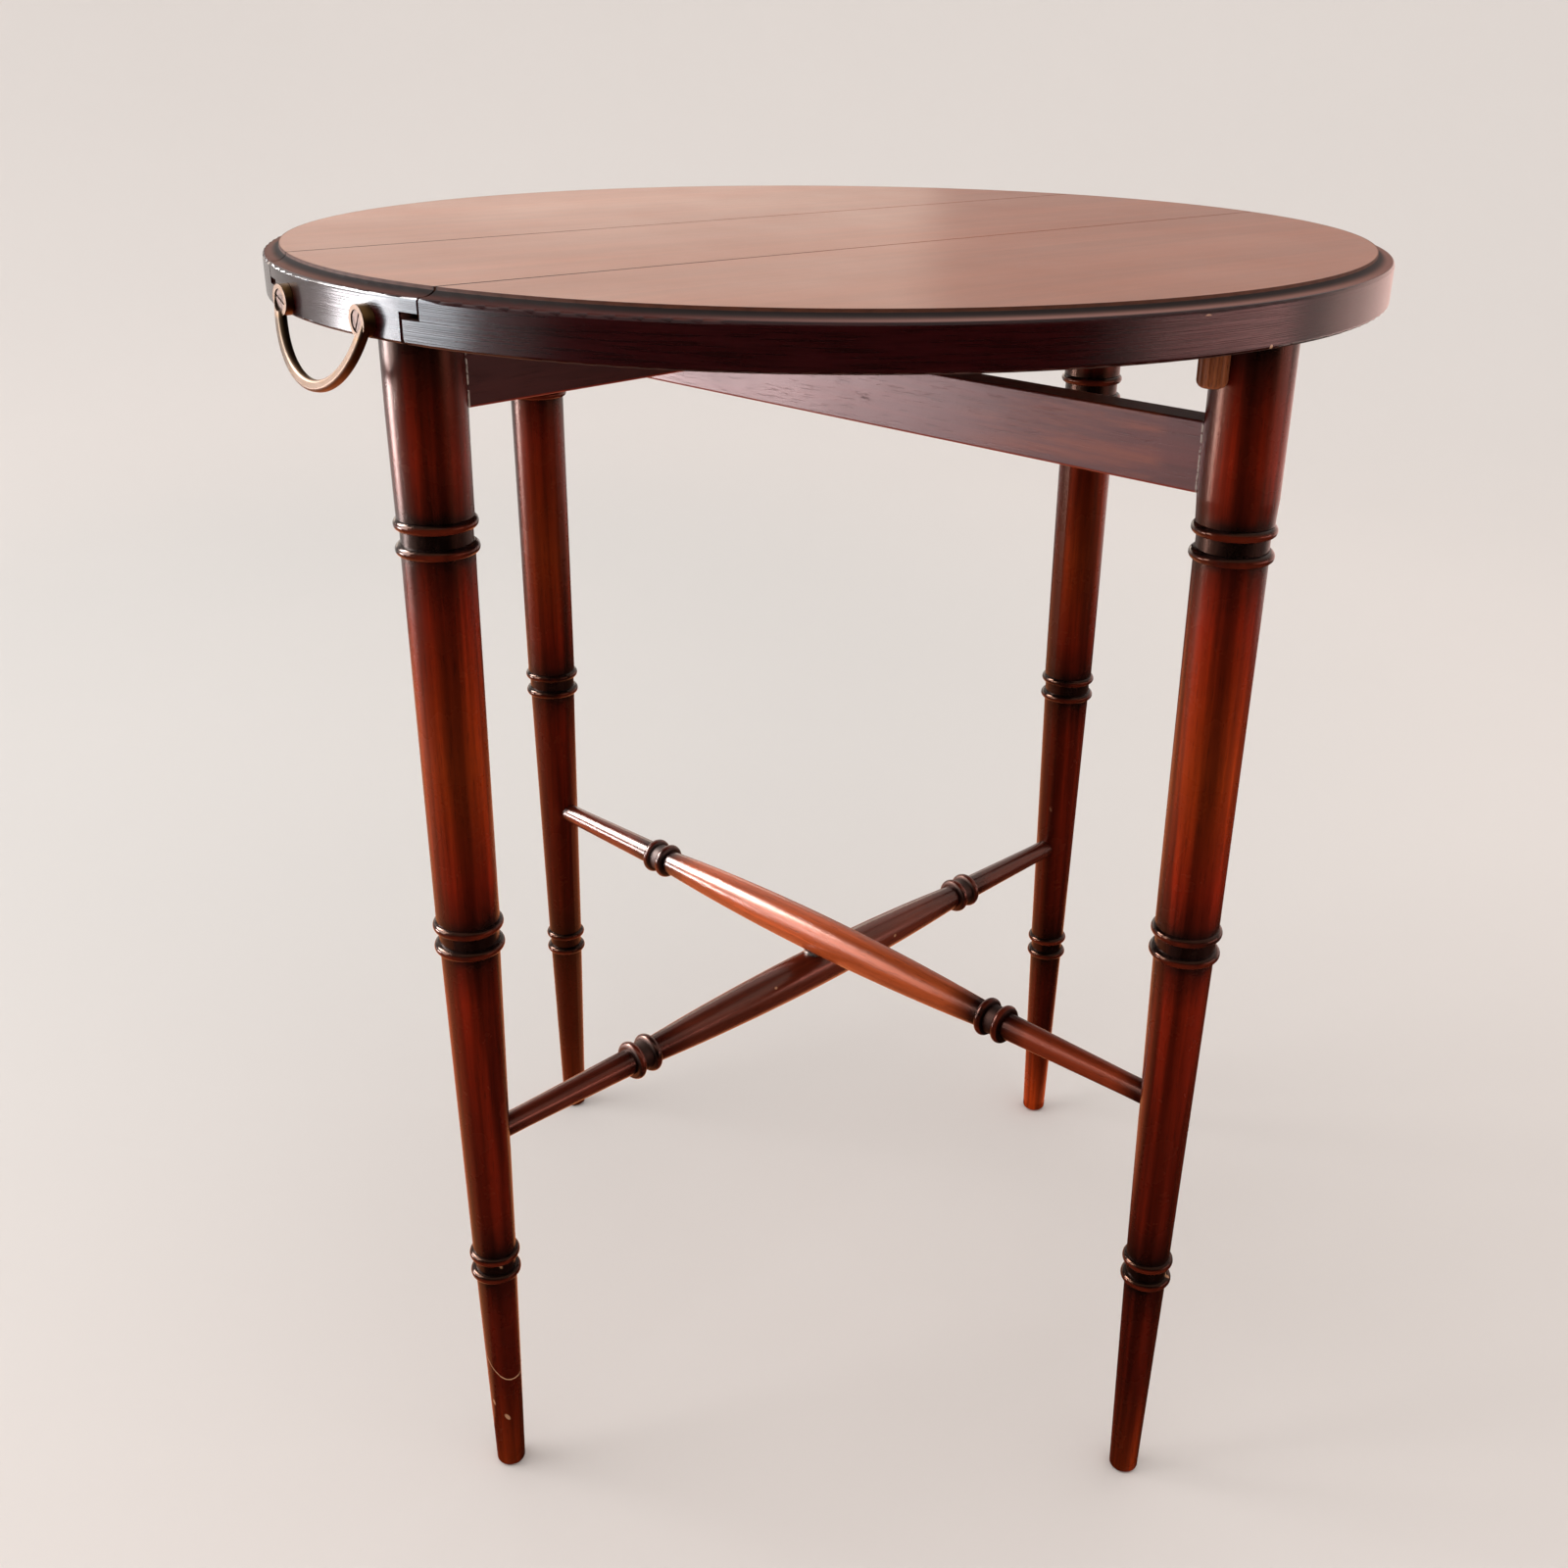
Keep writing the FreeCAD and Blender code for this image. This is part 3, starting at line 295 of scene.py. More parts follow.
turnedLeg = {
    # painted light: each leg's tones made lighter or darker as light falls on it
    "legLight": {
        "fixed_leg_handle_end": 1.0, "fixed_leg_far_end": 0.8, "swing_leg_near": 1.05, "swing_leg_far": 0.58,
    },
    # painted light on each foot
    "foot": {
        "fixed_leg_handle_end": 1.2, "fixed_leg_far_end": 4.5, "swing_leg_near": 1.4, "swing_leg_far": 2.6,
    },
    "lightByLevel": (  # level, brightness of the painted light along the leg
        (0.0, 1.1), (0.20, 1.05), (0.29, 1.7), (0.36, 2.2), (0.50, 2.7), (0.60, 2.1), (0.642, 1.5),
    ),
    "length": 0.642,
    "dark": (0.0040, 0.0018, 0.0016),
    "shade": (0.026, 0.0020, 0.0008),
    "red": (0.066, 0.0036, 0.0007),
    "amber": (0.092, 0.0090, 0.0007),
    "crest": (0.080, 0.010, 0.0040, 1.0),
    "chip": (0.42, 0.22, 0.12, 1.0),
    "footTop": 0.07,
    "middles": ((0.24, "red"), (0.4435, "amber")),
    "neck": (0.612, 0.8),  # level, share of the red
    "head": 0.640,
    "rings": ((0.145, 0.0135), (0.3485, 0.0174), (0.552, 0.019)),  # level, radius
    "ringHalf": 0.0085,
    "ringEdge": 0.0004,
    "fadeSpan": 0.026,
    "shadeSpans": (0.004, 0.006),  # below and above a ring
    "crestDepths": (0.0021, 0.0009),
    "beadOffset": 0.00585,
    "beadTop": (0.0018, 0.0003),
    "beadFoot": (-0.0030, -0.0024),
    "waver": {"cells": 55.0, "depth": 0.016},
    "worn": {"cells": 38.0, "span": (0.30, 0.62)},
    "chips": {"turn": (0.3, 0.4, 0.0), "net": (95.0, 95.0, 42.0), "size": 0.13, "rarity": 0.86},
    "chipLevel": (0.30, 0.16),
    "rough": {"base": 0.20, "cells": 35.0, "spread": 0.14, "ring": -0.15, "chip": 0.3},
    "relief": (0.15, 0.0004),  # strength, depth
    "gloss": 0.22,
    "glossTint": (1.0, 0.44, 0.26, 1.0),
    "grain": {
        "along": 7.0, "across": 240.0, "figure": (2.0, 85.0, 85.0), "pores": (90.0, 1700.0, 1700.0),
        "streak": 0.26, "cloud": 0.60, "poreDark": 0.4, "fibreRise": 0.3, "poreSink": 0.5,
    },
    "scratch": {
        "leg": "fixed_leg_handle_end", "across": (0.775, -0.632), "level": 0.0695, "slope": -0.9,
        "bend": 60.0, "width": (0.0006, 0.0003), "cells": 260.0, "waver": 0.0012, "edge": (0.0, 0.001),
    },
}


def lightAtLevel(level):
    points = turnedLeg["lightByLevel"]
    for (low, first), (high, second) in zip(points, points[1:]):
        if level <= high:
            return first + (second - first) * (level - low) / (high - low)
    return points[-1][1]


def legStops(name):
    legs = turnedLeg
    half, span = legs["ringHalf"], legs["fadeSpan"]
    below, above = legs["shadeSpans"]
    neckLevel, neckShare = legs["neck"]
    stops = [(0.0, scaled(legs["amber"], legs["foot"][name])), (legs["footTop"], legs["red"])]
    for level, _ in legs["rings"]:
        low, high = level - half, level + half
        stops += [(low - span, legs["red"]), (low - below, legs["shade"]), (low, legs["dark"])]
        stops += [(high, legs["dark"]), (high + above, legs["shade"]), (high + span, legs["red"])]
    stops += [(level, legs[colour]) for level, colour in legs["middles"]]
    stops += [(neckLevel, scaled(legs["red"], neckShare)), (legs["head"], legs["dark"])]
    # each stop carries the painted light of this leg and level
    legLight, length = legs["legLight"][name], legs["length"]
    return [(level / length, scaled(colour, legLight * lightAtLevel(level))) for level, colour in sorted(stops)]


def rubbedAway(tree, place, look):  # where a ring's dark shading has gone
    return fade(tree, cloud(tree, place, look["cells"], detail=4.0, rough=0.6), *look["span"])


def wavering(tree, place, look):  # an uneven edge for the shading
    drift = minus(tree, cloud(tree, place, look["cells"], detail=2.0), 0.5)
    return times(tree, drift, look["depth"])


def footScratch(tree, place):  # one curved scratch round the front of the foot
    mark = turnedLeg["scratch"]
    x, y, z = parts(tree, place)
    sideX, sideY = mark["across"]
    along = plus(tree, times(tree, x, sideX), times(tree, y, sideY))
    ahead = plus(tree, times(tree, x, sideY), times(tree, y, -sideX))
    curve = plus(tree, mark["level"], times(tree, along, mark["slope"]))
    curve = plus(tree, curve, times(tree, times(tree, along, along), mark["bend"]))
    waver = times(tree, cloud(tree, place, mark["cells"], detail=2.0), mark["waver"])
    apart = sums(tree, "ABSOLUTE", minus(tree, plus(tree, z, waver), curve))
    return times(tree, fade(tree, apart, *mark["width"]), fade(tree, ahead, *mark["edge"]))


def ringMasks(tree, radius, z):  # whole rings, and the lower half of their beads, where the crest colour is partly wear and partly painted light; the bead tops stay dark as painted shade
    legs = turnedLeg
    half, edge = legs["ringHalf"], legs["ringEdge"]
    deep, shallow = legs["crestDepths"]
    ringMask, crestWearAndLight = 0.0, 0.0
    for ringLevel, ringRadius in legs["rings"]:
        apart = sums(tree, "ABSOLUTE", minus(tree, z, ringLevel))
        crest = fade(tree, radius, ringRadius - deep, ringRadius - shallow)
        ringMask = plus(tree, ringMask, times(tree, fade(tree, apart, half + edge, half - edge), crest))
        for side in (-1, 1):
            drop = minus(tree, z, ringLevel + side * legs["beadOffset"])
            lower = times(tree, fade(tree, drop, *legs["beadTop"]), fade(tree, drop, *legs["beadFoot"]))
            crestWearAndLight = plus(tree, crestWearAndLight, times(tree, lower, crest))
    return ringMask, crestWearAndLight


def legFinish(name):
    legs = turnedLeg
    low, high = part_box(name)
    axisX, axisY = (low.x + high.x) / 2, (low.y + high.y) / 2
    made, tree, shader = newFinish("legLacquer_" + name)
    place = objectPlace(tree, shift=(-axisX, -axisY, 0.0))
    x, y, z = parts(tree, place)
    level = sums(tree, "DIVIDE", plus(tree, z, wavering(tree, place, legs["waver"])), legs["length"])
    burst = rampColours(tree, level, legStops(name))
    along = objectPlace(tree, turn=(0.0, quarterTurn, 0.0))
    tone, fibres, poreMask = mahogany(tree, along, burst, legs["grain"])
    ringMask, crestWearAndLight = ringMasks(tree, lengthOf(tree, x, y), z)
    worn = rubbedAway(tree, objectPlace(tree), legs["worn"])
    # crest colour on the lower bead halves: wear and painted light
    tone = mixColours(tree, times(tree, crestWearAndLight, worn), tone, legs["crest"])
    chipMask = chips(tree, objectPlace(tree, turn=legs["chips"]["turn"]), legs["chips"])
    chipMask = times(tree, chipMask, fade(tree, z, *legs["chipLevel"]))
    if name == legs["scratch"]["leg"]:
        chipMask = sums(tree, "MAXIMUM", chipMask, footScratch(tree, place))
    tone = mixColours(tree, chipMask, tone, legs["chip"])
    tree.links.new(tone, shader.inputs["Base Color"])
    rough = legs["rough"]
    dull = unevenGloss(tree, place, rough)
    for mask, change in ((ringMask, rough["ring"]), (chipMask, rough["chip"])):
        dull = plus(tree, dull, times(tree, mask, change))
    tree.links.new(dull, shader.inputs["Roughness"])
    height = minus(tree, grainHeight(tree, fibres, poreMask, legs["grain"]), chipMask)
    tree.links.new(relief(tree, height, *legs["relief"]), shader.inputs["Normal"])
    shader.inputs["Specular IOR Level"].default_value = legs["gloss"]
    shader.inputs["Specular Tint"].default_value = legs["glossTint"]
    dress(made, name)


for legName in turnedLeg["legLight"]:
    legFinish(legName)
print("turned legs shaded")


# turned stretchers: same finish along their own lines

turnedStretcher = {
    "turns": {"fixed_stretcher": 6.0, "swing_stretcher": 96.0},
    "axisLevel": {"fixed_stretcher": 0.226, "swing_stretcher": 0.251},
    # painted light: the swing stretcher's tones far lighter than the fixed one's, as light falls on it
    "middle": {"fixed_stretcher": (0.105, 0.018, 0.0085), "swing_stretcher": (0.68, 0.125, 0.034)},
    "ends": {"fixed_stretcher": (0.080, 0.012, 0.0055), "swing_stretcher": (0.235, 0.033, 0.010)},
    # painted shade: the near half of the swing stretcher darker
    "nearHalfShade": {"fixed_stretcher": 1.0, "swing_stretcher": 0.68},
    "nearSpan": (-0.12, 0.10),
    "span": 0.254,
    "ringReach": 0.142,
    "ringRadius": 0.0112,
    "crestDepths": (0.0013, 0.0005),
    "shoulder": (0.035, 0.8),  # inside the ring, share of the middle's tone
    "shadeSpans": (0.004, 0.005),  # inside and outside a ring
    "endSpan": 0.026,
    "endReach": 0.225,
    "legShade": 0.24,
    "waver": {"cells": 60.0, "depth": 0.01},
    "worn": {"cells": 60.0, "span": (0.36, 0.60)},
    "chips": {"turn": (0.3, 0.2, 0.5), "net": (70.0, 110.0, 110.0), "size": 0.12, "rarity": 0.88},
    "rough": {"base": 0.17, "cells": 35.0, "spread": 0.10, "groove": 0.35},
    "relief": (0.15, 0.0004),  # strength, depth
    "gloss": {"fixed_stretcher": 0.55, "swing_stretcher": 0.62},
    "glossTint": {"fixed_stretcher": (1.0, 0.54, 0.42, 1.0), "swing_stretcher": (1.0, 0.72, 0.64, 1.0)},
    "rubbedEnd": {"swing_stretcher": (0.16, (1.0, 0.42, 0.30, 1.0))},  # gloss and tint left at the near end
    "rubbedSpan": (-0.10, 0.12),
    "grain": {
        "along": 7.0, "across": 240.0, "figure": (3.0, 40.0, 40.0), "pores": (90.0, 1700.0, 1700.0),
        "streak": 0.2, "cloud": 0.3, "poreDark": 0.4, "fibreRise": 0.3, "poreSink": 0.5,
    },
}


def stretcherStops(name):
    look, legs = turnedStretcher, turnedLeg
    middle, ends = look["middle"][name], look["ends"][name]
    inside, outside = look["shadeSpans"]
    shoulderSpan, shoulderShare = look["shoulder"]
    ring, half = look["ringReach"], legs["ringHalf"]
    stops = [(0.0, middle), (ring - shoulderSpan, scaled(middle, shoulderShare))]
    stops += [(ring - half - inside, legs["shade"]), (ring - half, legs["dark"])]
    stops += [(ring + half, legs["dark"]), (ring + half + outside, legs["shade"])]
    stops += [(ring + look["endSpan"], ends), (look["endReach"], ends), (look["legShade"], legs["shade"])]
    return [(spot / look["span"], colour) for spot, colour in stops]


def rubNearEnd(tree, shader, x, name):
    look = turnedStretcher
    gloss, tint = look["rubbedEnd"][name]
    polish = fade(tree, x, *look["rubbedSpan"])
    shine = plus(tree, gloss, times(tree, polish, look["gloss"][name] - gloss))
    tree.links.new(shine, shader.inputs["Specular IOR Level"])
    tree.links.new(mixColours(tree, polish, tint, look["glossTint"][name]), shader.inputs["Specular Tint"])


def stretcherFinish(name):
    look, legs = turnedStretcher, turnedLeg
    made, tree, shader = newFinish("stretcherLacquer_" + name)
    turn = (0.0, 0.0, -math.radians(look["turns"][name]))
    place = objectPlace(tree, turn=turn, shift=(0.0, 0.0, -look["axisLevel"][name]))
    x, y, z = parts(tree, place)
    out = sums(tree, "ABSOLUTE", x)
    level = sums(tree, "DIVIDE", plus(tree, out, wavering(tree, place, look["waver"])), look["span"])
    burst = rampColours(tree, level, stretcherStops(name))
    # painted shade on the near half
    side = mixColours(tree, fade(tree, x, *look["nearSpan"]), grey(look["nearHalfShade"][name]), grey(1.0))
    burst = mixColours(tree, 1.0, burst, side, "MULTIPLY")
    tone, fibres, poreMask = mahogany(tree, place, burst, look["grain"])
    half, edge = legs["ringHalf"], legs["ringEdge"]
    apart = sums(tree, "ABSOLUTE", minus(tree, out, look["ringReach"]))
    near = fade(tree, apart, half + edge, half - edge)
    deep, shallow = look["crestDepths"]
    crest = fade(tree, lengthOf(tree, y, z), look["ringRadius"] - deep, look["ringRadius"] - shallow)
    worn = rubbedAway(tree, place, look["worn"])
    tone = mixColours(tree, times(tree, times(tree, near, crest), worn), tone, legs["crest"])
    chipMask = chips(tree, objectPlace(tree, turn=look["chips"]["turn"]), look["chips"])
    tone = mixColours(tree, chipMask, tone, legs["chip"])
    tree.links.new(tone, shader.inputs["Base Color"])
    rough = look["rough"]
    dull = unevenGloss(tree, place, rough)
    groove = times(tree, near, minus(tree, 1.0, crest))
    dull = plus(tree, dull, times(tree, groove, rough["groove"]))
    tree.links.new(dull, shader.inputs["Roughness"])
    height = grainHeight(tree, fibres, poreMask, look["grain"])
    tree.links.new(relief(tree, height, *look["relief"]), shader.inputs["Normal"])
    shader.inputs["Specular IOR Level"].default_value = look["gloss"][name]
    shader.inputs["Specular Tint"].default_value = look["glossTint"][name]
    if name in look["rubbedEnd"]:
        rubNearEnd(tree, shader, x, name)
    dress(made, name)


for stretcherName in turnedStretcher["turns"]:
    stretcherFinish(stretcherName)
print("stretchers shaded")


# flat rails: red-brown satin, the fixed rail darker as painted shade, a painted highlight along the lower
# edges, and a glow and a rubbed patch on the swing rail

flatRail = {
    "turns": {"fixed_rail": 6.0, "swing_rail": 96.0},
    # painted shade: the fixed rail's tone darker than the swing rail's
    "tone": {"fixed_rail": (0.036, 0.0060, 0.0045, 1.0), "swing_rail": (0.100, 0.015, 0.010, 1.0)},
    "gloss": {"fixed_rail": 0.22, "swing_rail": 0.4},
    "legReach": {"fixed_rail": 0.249, "swing_rail": 0.254},
    "markedRail": "swing_rail",
    # painted highlight: a red line of light along the lower edge
    "edge": {"tone": (0.24, 0.022, 0.010, 1.0), "rise": (0.0014, 0.0005)},
    "glow": {
        "tone": (0.22, 0.042, 0.013, 1.0), "nearSpan": (-0.085, -0.150), "farSpan": (-0.224, -0.212),
        "scale": (9.0, 90.0, 110.0), "span": (0.40, 0.66),
    },
    "rub": {
        "tone": (0.045, 0.009, 0.007, 1.0), "spot": (-0.014, 0.5855), "size": (0.034, 0.0065),
        "reach": (1.2, 0.3), "scale": (22.0, 60.0, 75.0), "span": (0.50, 0.56),
    },
    "glue": {
        "tone": (0.50, 0.44, 0.38, 1.0), "reach": (0.0190, 0.0186), "cells": 420.0, "span": (0.44, 0.52),
    },
    "rough": {"base": 0.30, "cells": 25.0, "spread": 0.14, "rub": 0.35},
    "crumbRise": 0.35,
    "relief": (0.2, 0.0004),  # strength, depth
    "glossTint": (1.0, 0.72, 0.71, 1.0),
    "grain": {
        "along": 6.0, "across": 190.0, "figure": (3.0, 30.0, 30.0), "pores": (80.0, 1500.0, 1500.0),
        "streak": 0.16, "cloud": 0.3, "poreDark": 0.3, "fibreRise": 0.3, "poreSink": 0.5,
    },
}


def railGlow(tree, place, x):
    look = flatRail["glow"]
    streaks = cloud(tree, stretched(tree, place, look["scale"]), detail=5.0, rough=0.65)
    glow = times(tree, fade(tree, x, *look["nearSpan"]), fade(tree, x, *look["farSpan"]))
    return times(tree, glow, fade(tree, streaks, *look["span"]))


def railRub(tree, place, x, z):
    look = flatRail["rub"]
    scrapes = cloud(tree, stretched(tree, place, look["scale"]), detail=6.0, rough=0.7)
    aside = sums(tree, "DIVIDE", minus(tree, x, look["spot"][0]), look["size"][0])
    above = sums(tree, "DIVIDE", minus(tree, z, look["spot"][1]), look["size"][1])
    patch = fade(tree, lengthOf(tree, aside, above), *look["reach"])
    return times(tree, patch, fade(tree, scrapes, *look["span"]))


def railFinish(name):
    look = flatRail
    made, tree, shader = newFinish("railLacquer_" + name)
    place = objectPlace(tree, turn=(0.0, 0.0, -math.radians(look["turns"][name])))
    x, y, z = parts(tree, place)
    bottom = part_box(name)[0].z
    tone, fibres, poreMask = mahogany(tree, place, look["tone"][name], look["grain"])
    rubbed = railRub(tree, place, x, z)
    if name == look["markedRail"]:
        tone = mixColours(tree, railGlow(tree, place, x), tone, look["glow"]["tone"])
        tone = mixColours(tree, rubbed, tone, look["rub"]["tone"])
    # painted highlight along the lower edge
    edgeLightTop, edgeLightFull = look["edge"]["rise"]
    tone = mixColours(tree, fade(tree, z, bottom + edgeLightTop, bottom + edgeLightFull), tone, look["edge"]["tone"])
    toLeg = lengthOf(tree, minus(tree, sums(tree, "ABSOLUTE", x), look["legReach"][name]), y)
    crumbs = cloud(tree, place, look["glue"]["cells"], rough=0.6)
    glue = times(tree, fade(tree, toLeg, *look["glue"]["reach"]), fade(tree, crumbs, *look["glue"]["span"]))
    tone = mixColours(tree, glue, tone, look["glue"]["tone"])
    tree.links.new(tone, shader.inputs["Base Color"])
    rough = look["rough"]
    dull = unevenGloss(tree, place, rough)
    tree.links.new(plus(tree, dull, times(tree, rubbed, rough["rub"])), shader.inputs["Roughness"])
    height = grainHeight(tree, fibres, poreMask, look["grain"])
    height = plus(tree, height, times(tree, crumbs, look["crumbRise"]))
    tree.links.new(relief(tree, height, *look["relief"]), shader.inputs["Normal"])
    shader.inputs["Specular IOR Level"].default_value = look["gloss"][name]
    shader.inputs["Specular Tint"].default_value = look["glossTint"]
    dress(made, name)


for railName in flatRail["turns"]:
    railFinish(railName)
print("rails finished")


# stop dowels: bare fluted wood

stopDowel = {
    "nodes": ("near_stop_dowel", "far_stop_dowel"),
    "tone": (0.22, 0.062, 0.020, 1.0),
    "rough": {"base": 0.45, "spread": 0.3},
    "relief": (0.3, 0.0003),  # strength, depth
    "gloss": 0.15,
    "grain": {
        "along": 30.0, "across": 700.0, "figure": (20.0, 120.0, 120.0), "pores": (200.0, 2600.0, 2600.0),
        "streak": 0.3, "cloud": 0.3, "poreDark": 0.5,
    },
}


def dowelFinish():
    look = stopDowel
    made, tree, shader = newFinish("dowelWood")
    along = objectPlace(tree, turn=(0.0, quarterTurn, 0.0))
    tone, fibres, _ = mahogany(tree, along, look["tone"], look["grain"])
    tree.links.new(tone, shader.inputs["Base Color"])
    dull = plus(tree, look["rough"]["base"], times(tree, fibres, look["rough"]["spread"]))
    tree.links.new(dull, shader.inputs["Roughness"])
    tree.links.new(relief(tree, fibres, *look["relief"]), shader.inputs["Normal"])
    shader.inputs["Specular IOR Level"].default_value = look["gloss"]
    dress(made, *look["nodes"])


dowelFinish()
print("stop dowels finished")


# metals: aged brass and dull steel

metalLooks = {
    "handleScrewBrass": {
        "nodes": ("handle_screws",),
        "bright": (0.080, 0.052, 0.042, 1.0), "dull": (0.030, 0.017, 0.012, 1.0),
        "cells": 400.0, "wear": (0.34, 0.6), "rough": (0.30, 0.28),
    },
    "hingeBrass": {
        "nodes": (
            "near_hinge_board_flaps", "near_hinge_leaf_flaps",
            "far_hinge_board_flaps", "far_hinge_leaf_flaps",
        ),
        "bright": (0.62, 0.46, 0.22, 1.0), "dull": (0.20, 0.13, 0.06, 1.0),
        "cells": 120.0, "wear": (0.35, 0.65), "rough": (0.30, 0.30),
    },
    "fastenerSteel": {
        "nodes": (
            "hinge_pins", "hinge_board_screws", "near_hinge_leaf_screws", "far_hinge_leaf_screws",
            "rail_screws", "pivot_bolt", "pivot_nut", "pivot_washer", "rail_washer",
            "stretcher_pin", "stretcher_washer",
        ),
        "bright": (0.52, 0.50, 0.47, 1.0), "dull": (0.16, 0.14, 0.12, 1.0),
        "cells": 260.0, "wear": (0.38, 0.66), "rough": (0.28, 0.34),
    },
}
metalScuffs = {"finer": 9.0, "relief": (0.12, 0.0002)}  # cells to one of tarnish; strength, depth


def metalFinish(name, look):
    made, tree, shader = newFinish(name)
    place = objectPlace(tree)
    tarnish = cloud(tree, place, look["cells"], detail=5.0, rough=0.6, bend=0.4)
    tone = mixColours(tree, fade(tree, tarnish, *look["wear"]), look["dull"], look["bright"])
    tree.links.new(tone, shader.inputs["Base Color"])
    base, spread = look["rough"]
    tree.links.new(plus(tree, base, times(tree, tarnish, spread)), shader.inputs["Roughness"])
    scuffs = cloud(tree, place, look["cells"] * metalScuffs["finer"], detail=2.0)
    tree.links.new(relief(tree, scuffs, *metalScuffs["relief"]), shader.inputs["Normal"])
    shader.inputs["Metallic"].default_value = 1.0
    dress(made, *look["nodes"])


for metalName, metalLook in metalLooks.items():
    metalFinish(metalName, metalLook)


# brass bow: gold on its front, brown at the sides, painted shade inside the bow and on its far limb

brassBow = {
    "nodes": ("handle",),
    "centre": (-0.27687, 0.66056),  # x and z of the bow's circle
    "lean": 14.0,
    "inside": (0.0432, 0.0416),  # from that centre
    "front": (-0.0008, -0.0020),
    "back": (-0.0006, 0.0012),
    "eyeFront": (-0.2812, -0.2818),
    "bowLevel": (0.6440, 0.6410),
    "limbReach": (0.012, 0.026),
    "gold": (0.084, 0.053, 0.036, 1.0),
    "brown": (0.120, 0.062, 0.022, 1.0),
    # painted shade colours: the far limb and the inside of the bow
    "limb": (0.032, 0.020, 0.012, 1.0),
    "black": (0.022, 0.014, 0.009, 1.0),
    "limbShadeShare": 0.85,
    "insideShadeShare": 0.92,
    "tarnish": {"scale": (1.0, 1.0, 0.6), "cells": 240.0, "span": (0.18, 0.52)},
    "rough": (0.30, 0.24),
    "scuffCells": 1900.0,
    "relief": (0.10, 0.0002),  # strength, depth
}


def bowFinish():
    bow = brassBow
    made, tree, shader = newFinish("handleBrass")
    place = objectPlace(tree)
    x, y, z = parts(tree, place)
    lean = math.radians(bow["lean"])
    out = minus(tree, x, bow["centre"][0])
    rise = minus(tree, z, bow["centre"][1])
    down = plus(tree, times(tree, rise, math.cos(lean)), times(tree, out, math.sin(lean)))
    deep = minus(tree, times(tree, out, math.cos(lean)), times(tree, rise, math.sin(lean)))
    low = fade(tree, z, *bow["bowLevel"])
    tarnishPlace = stretched(tree, place, bow["tarnish"]["scale"])
    tarnish = cloud(tree, tarnishPlace, bow["tarnish"]["cells"], detail=5.0, rough=0.65, bend=0.3)
    face = times(tree, fade(tree, deep, *bow["front"]), low)
    eyes = times(tree, fade(tree, x, *bow["eyeFront"]), minus(tree, 1.0, low))
    face = sums(tree, "MAXIMUM", face, eyes)
    worn = times(tree, face, fade(tree, tarnish, *bow["tarnish"]["span"]))
    tone = mixColours(tree, worn, bow["brown"], bow["gold"])
    # painted shade on the far limb
    limb = times(tree, fade(tree, y, *bow["limbReach"]), low)
    tone = mixColours(tree, times(tree, limb, bow["limbShadeShare"]), tone, bow["limb"])
    # painted shade inside the bow
    inside = times(tree, fade(tree, lengthOf(tree, y, down), *bow["inside"]), low)
    inside = times(tree, inside, fade(tree, deep, *bow["back"]))
    tone = mixColours(tree, times(tree, inside, bow["insideShadeShare"]), tone, bow["black"])
    tree.links.new(tone, shader.inputs["Base Color"])
    base, spread = bow["rough"]
    tree.links.new(plus(tree, base, times(tree, tarnish, spread)), shader.inputs["Roughness"])
    scuffs = cloud(tree, place, bow["scuffCells"], detail=2.0)
    tree.links.new(relief(tree, plus(tree, scuffs, tarnish), *bow["relief"]), shader.inputs["Normal"])
    shader.inputs["Metallic"].default_value = 1.0
    dress(made, *bow["nodes"])


bowFinish()
print("metals finished")


# pale paper sweep: floor and wall in one, all the way round

paperSweep = {
    "reach": 4.6,
    "height": 2.8,
    "bend": 2.3,
    "steps": 96,
    "bendSteps": 24,
    "merge": 1e-4,
    "flat": 1e-6,
    "middle": (0.825, 0.780, 0.752, 1.0),
    "wall": (0.795, 0.765, 0.745, 1.0),
    "fade": (1.0, 3.4),
    "shadeSpot": (0.3, 1.2, 0.0),
    "shadeReach": (0.5, 1.6),
    "shade": (0.890, 0.918, 0.928, 1.0),
    "patches": (0.975, 1.0),
    "patchCells": 1.5,
    "rough": 0.95,
}


def sweepMesh():
    sweep = paperSweep
    mesh = bpy.data.meshes.new("paperSweep")
    shape = bmesh.new()
    corners = ((0.0, 0.0, 0.0), (sweep["reach"], 0.0, 0.0), (sweep["reach"], 0.0, sweep["height"]))
    spots = [shape.verts.new(corner) for corner in corners]
    edges = [shape.edges.new(spots[:2]), shape.edges.new(spots[1:])]
    bmesh.ops.spin(
        shape, geom=spots + edges, axis=(0.0, 0.0, 1.0), cent=(0.0, 0.0, 0.0), angle=2 * math.pi,
        steps=sweep["steps"], use_merge=True,
    )
    bmesh.ops.remove_doubles(shape, verts=shape.verts, dist=sweep["merge"])
    fold = [edge for edge in shape.edges if all(isFold(vert.co) for vert in edge.verts)]
    bmesh.ops.bevel(
        shape, geom=fold, offset=sweep["bend"], affect="EDGES", segments=sweep["bendSteps"], profile=0.5,
        material=-1,
    )
    for face in shape.faces:
        face.smooth = True
    shape.to_mesh(mesh)
    shape.free()
    return mesh


def isFold(spot):  # on the circle where floor and wall meet
    return abs(spot.z) < paperSweep["flat"] and spot.length > paperSweep["reach"] / 2


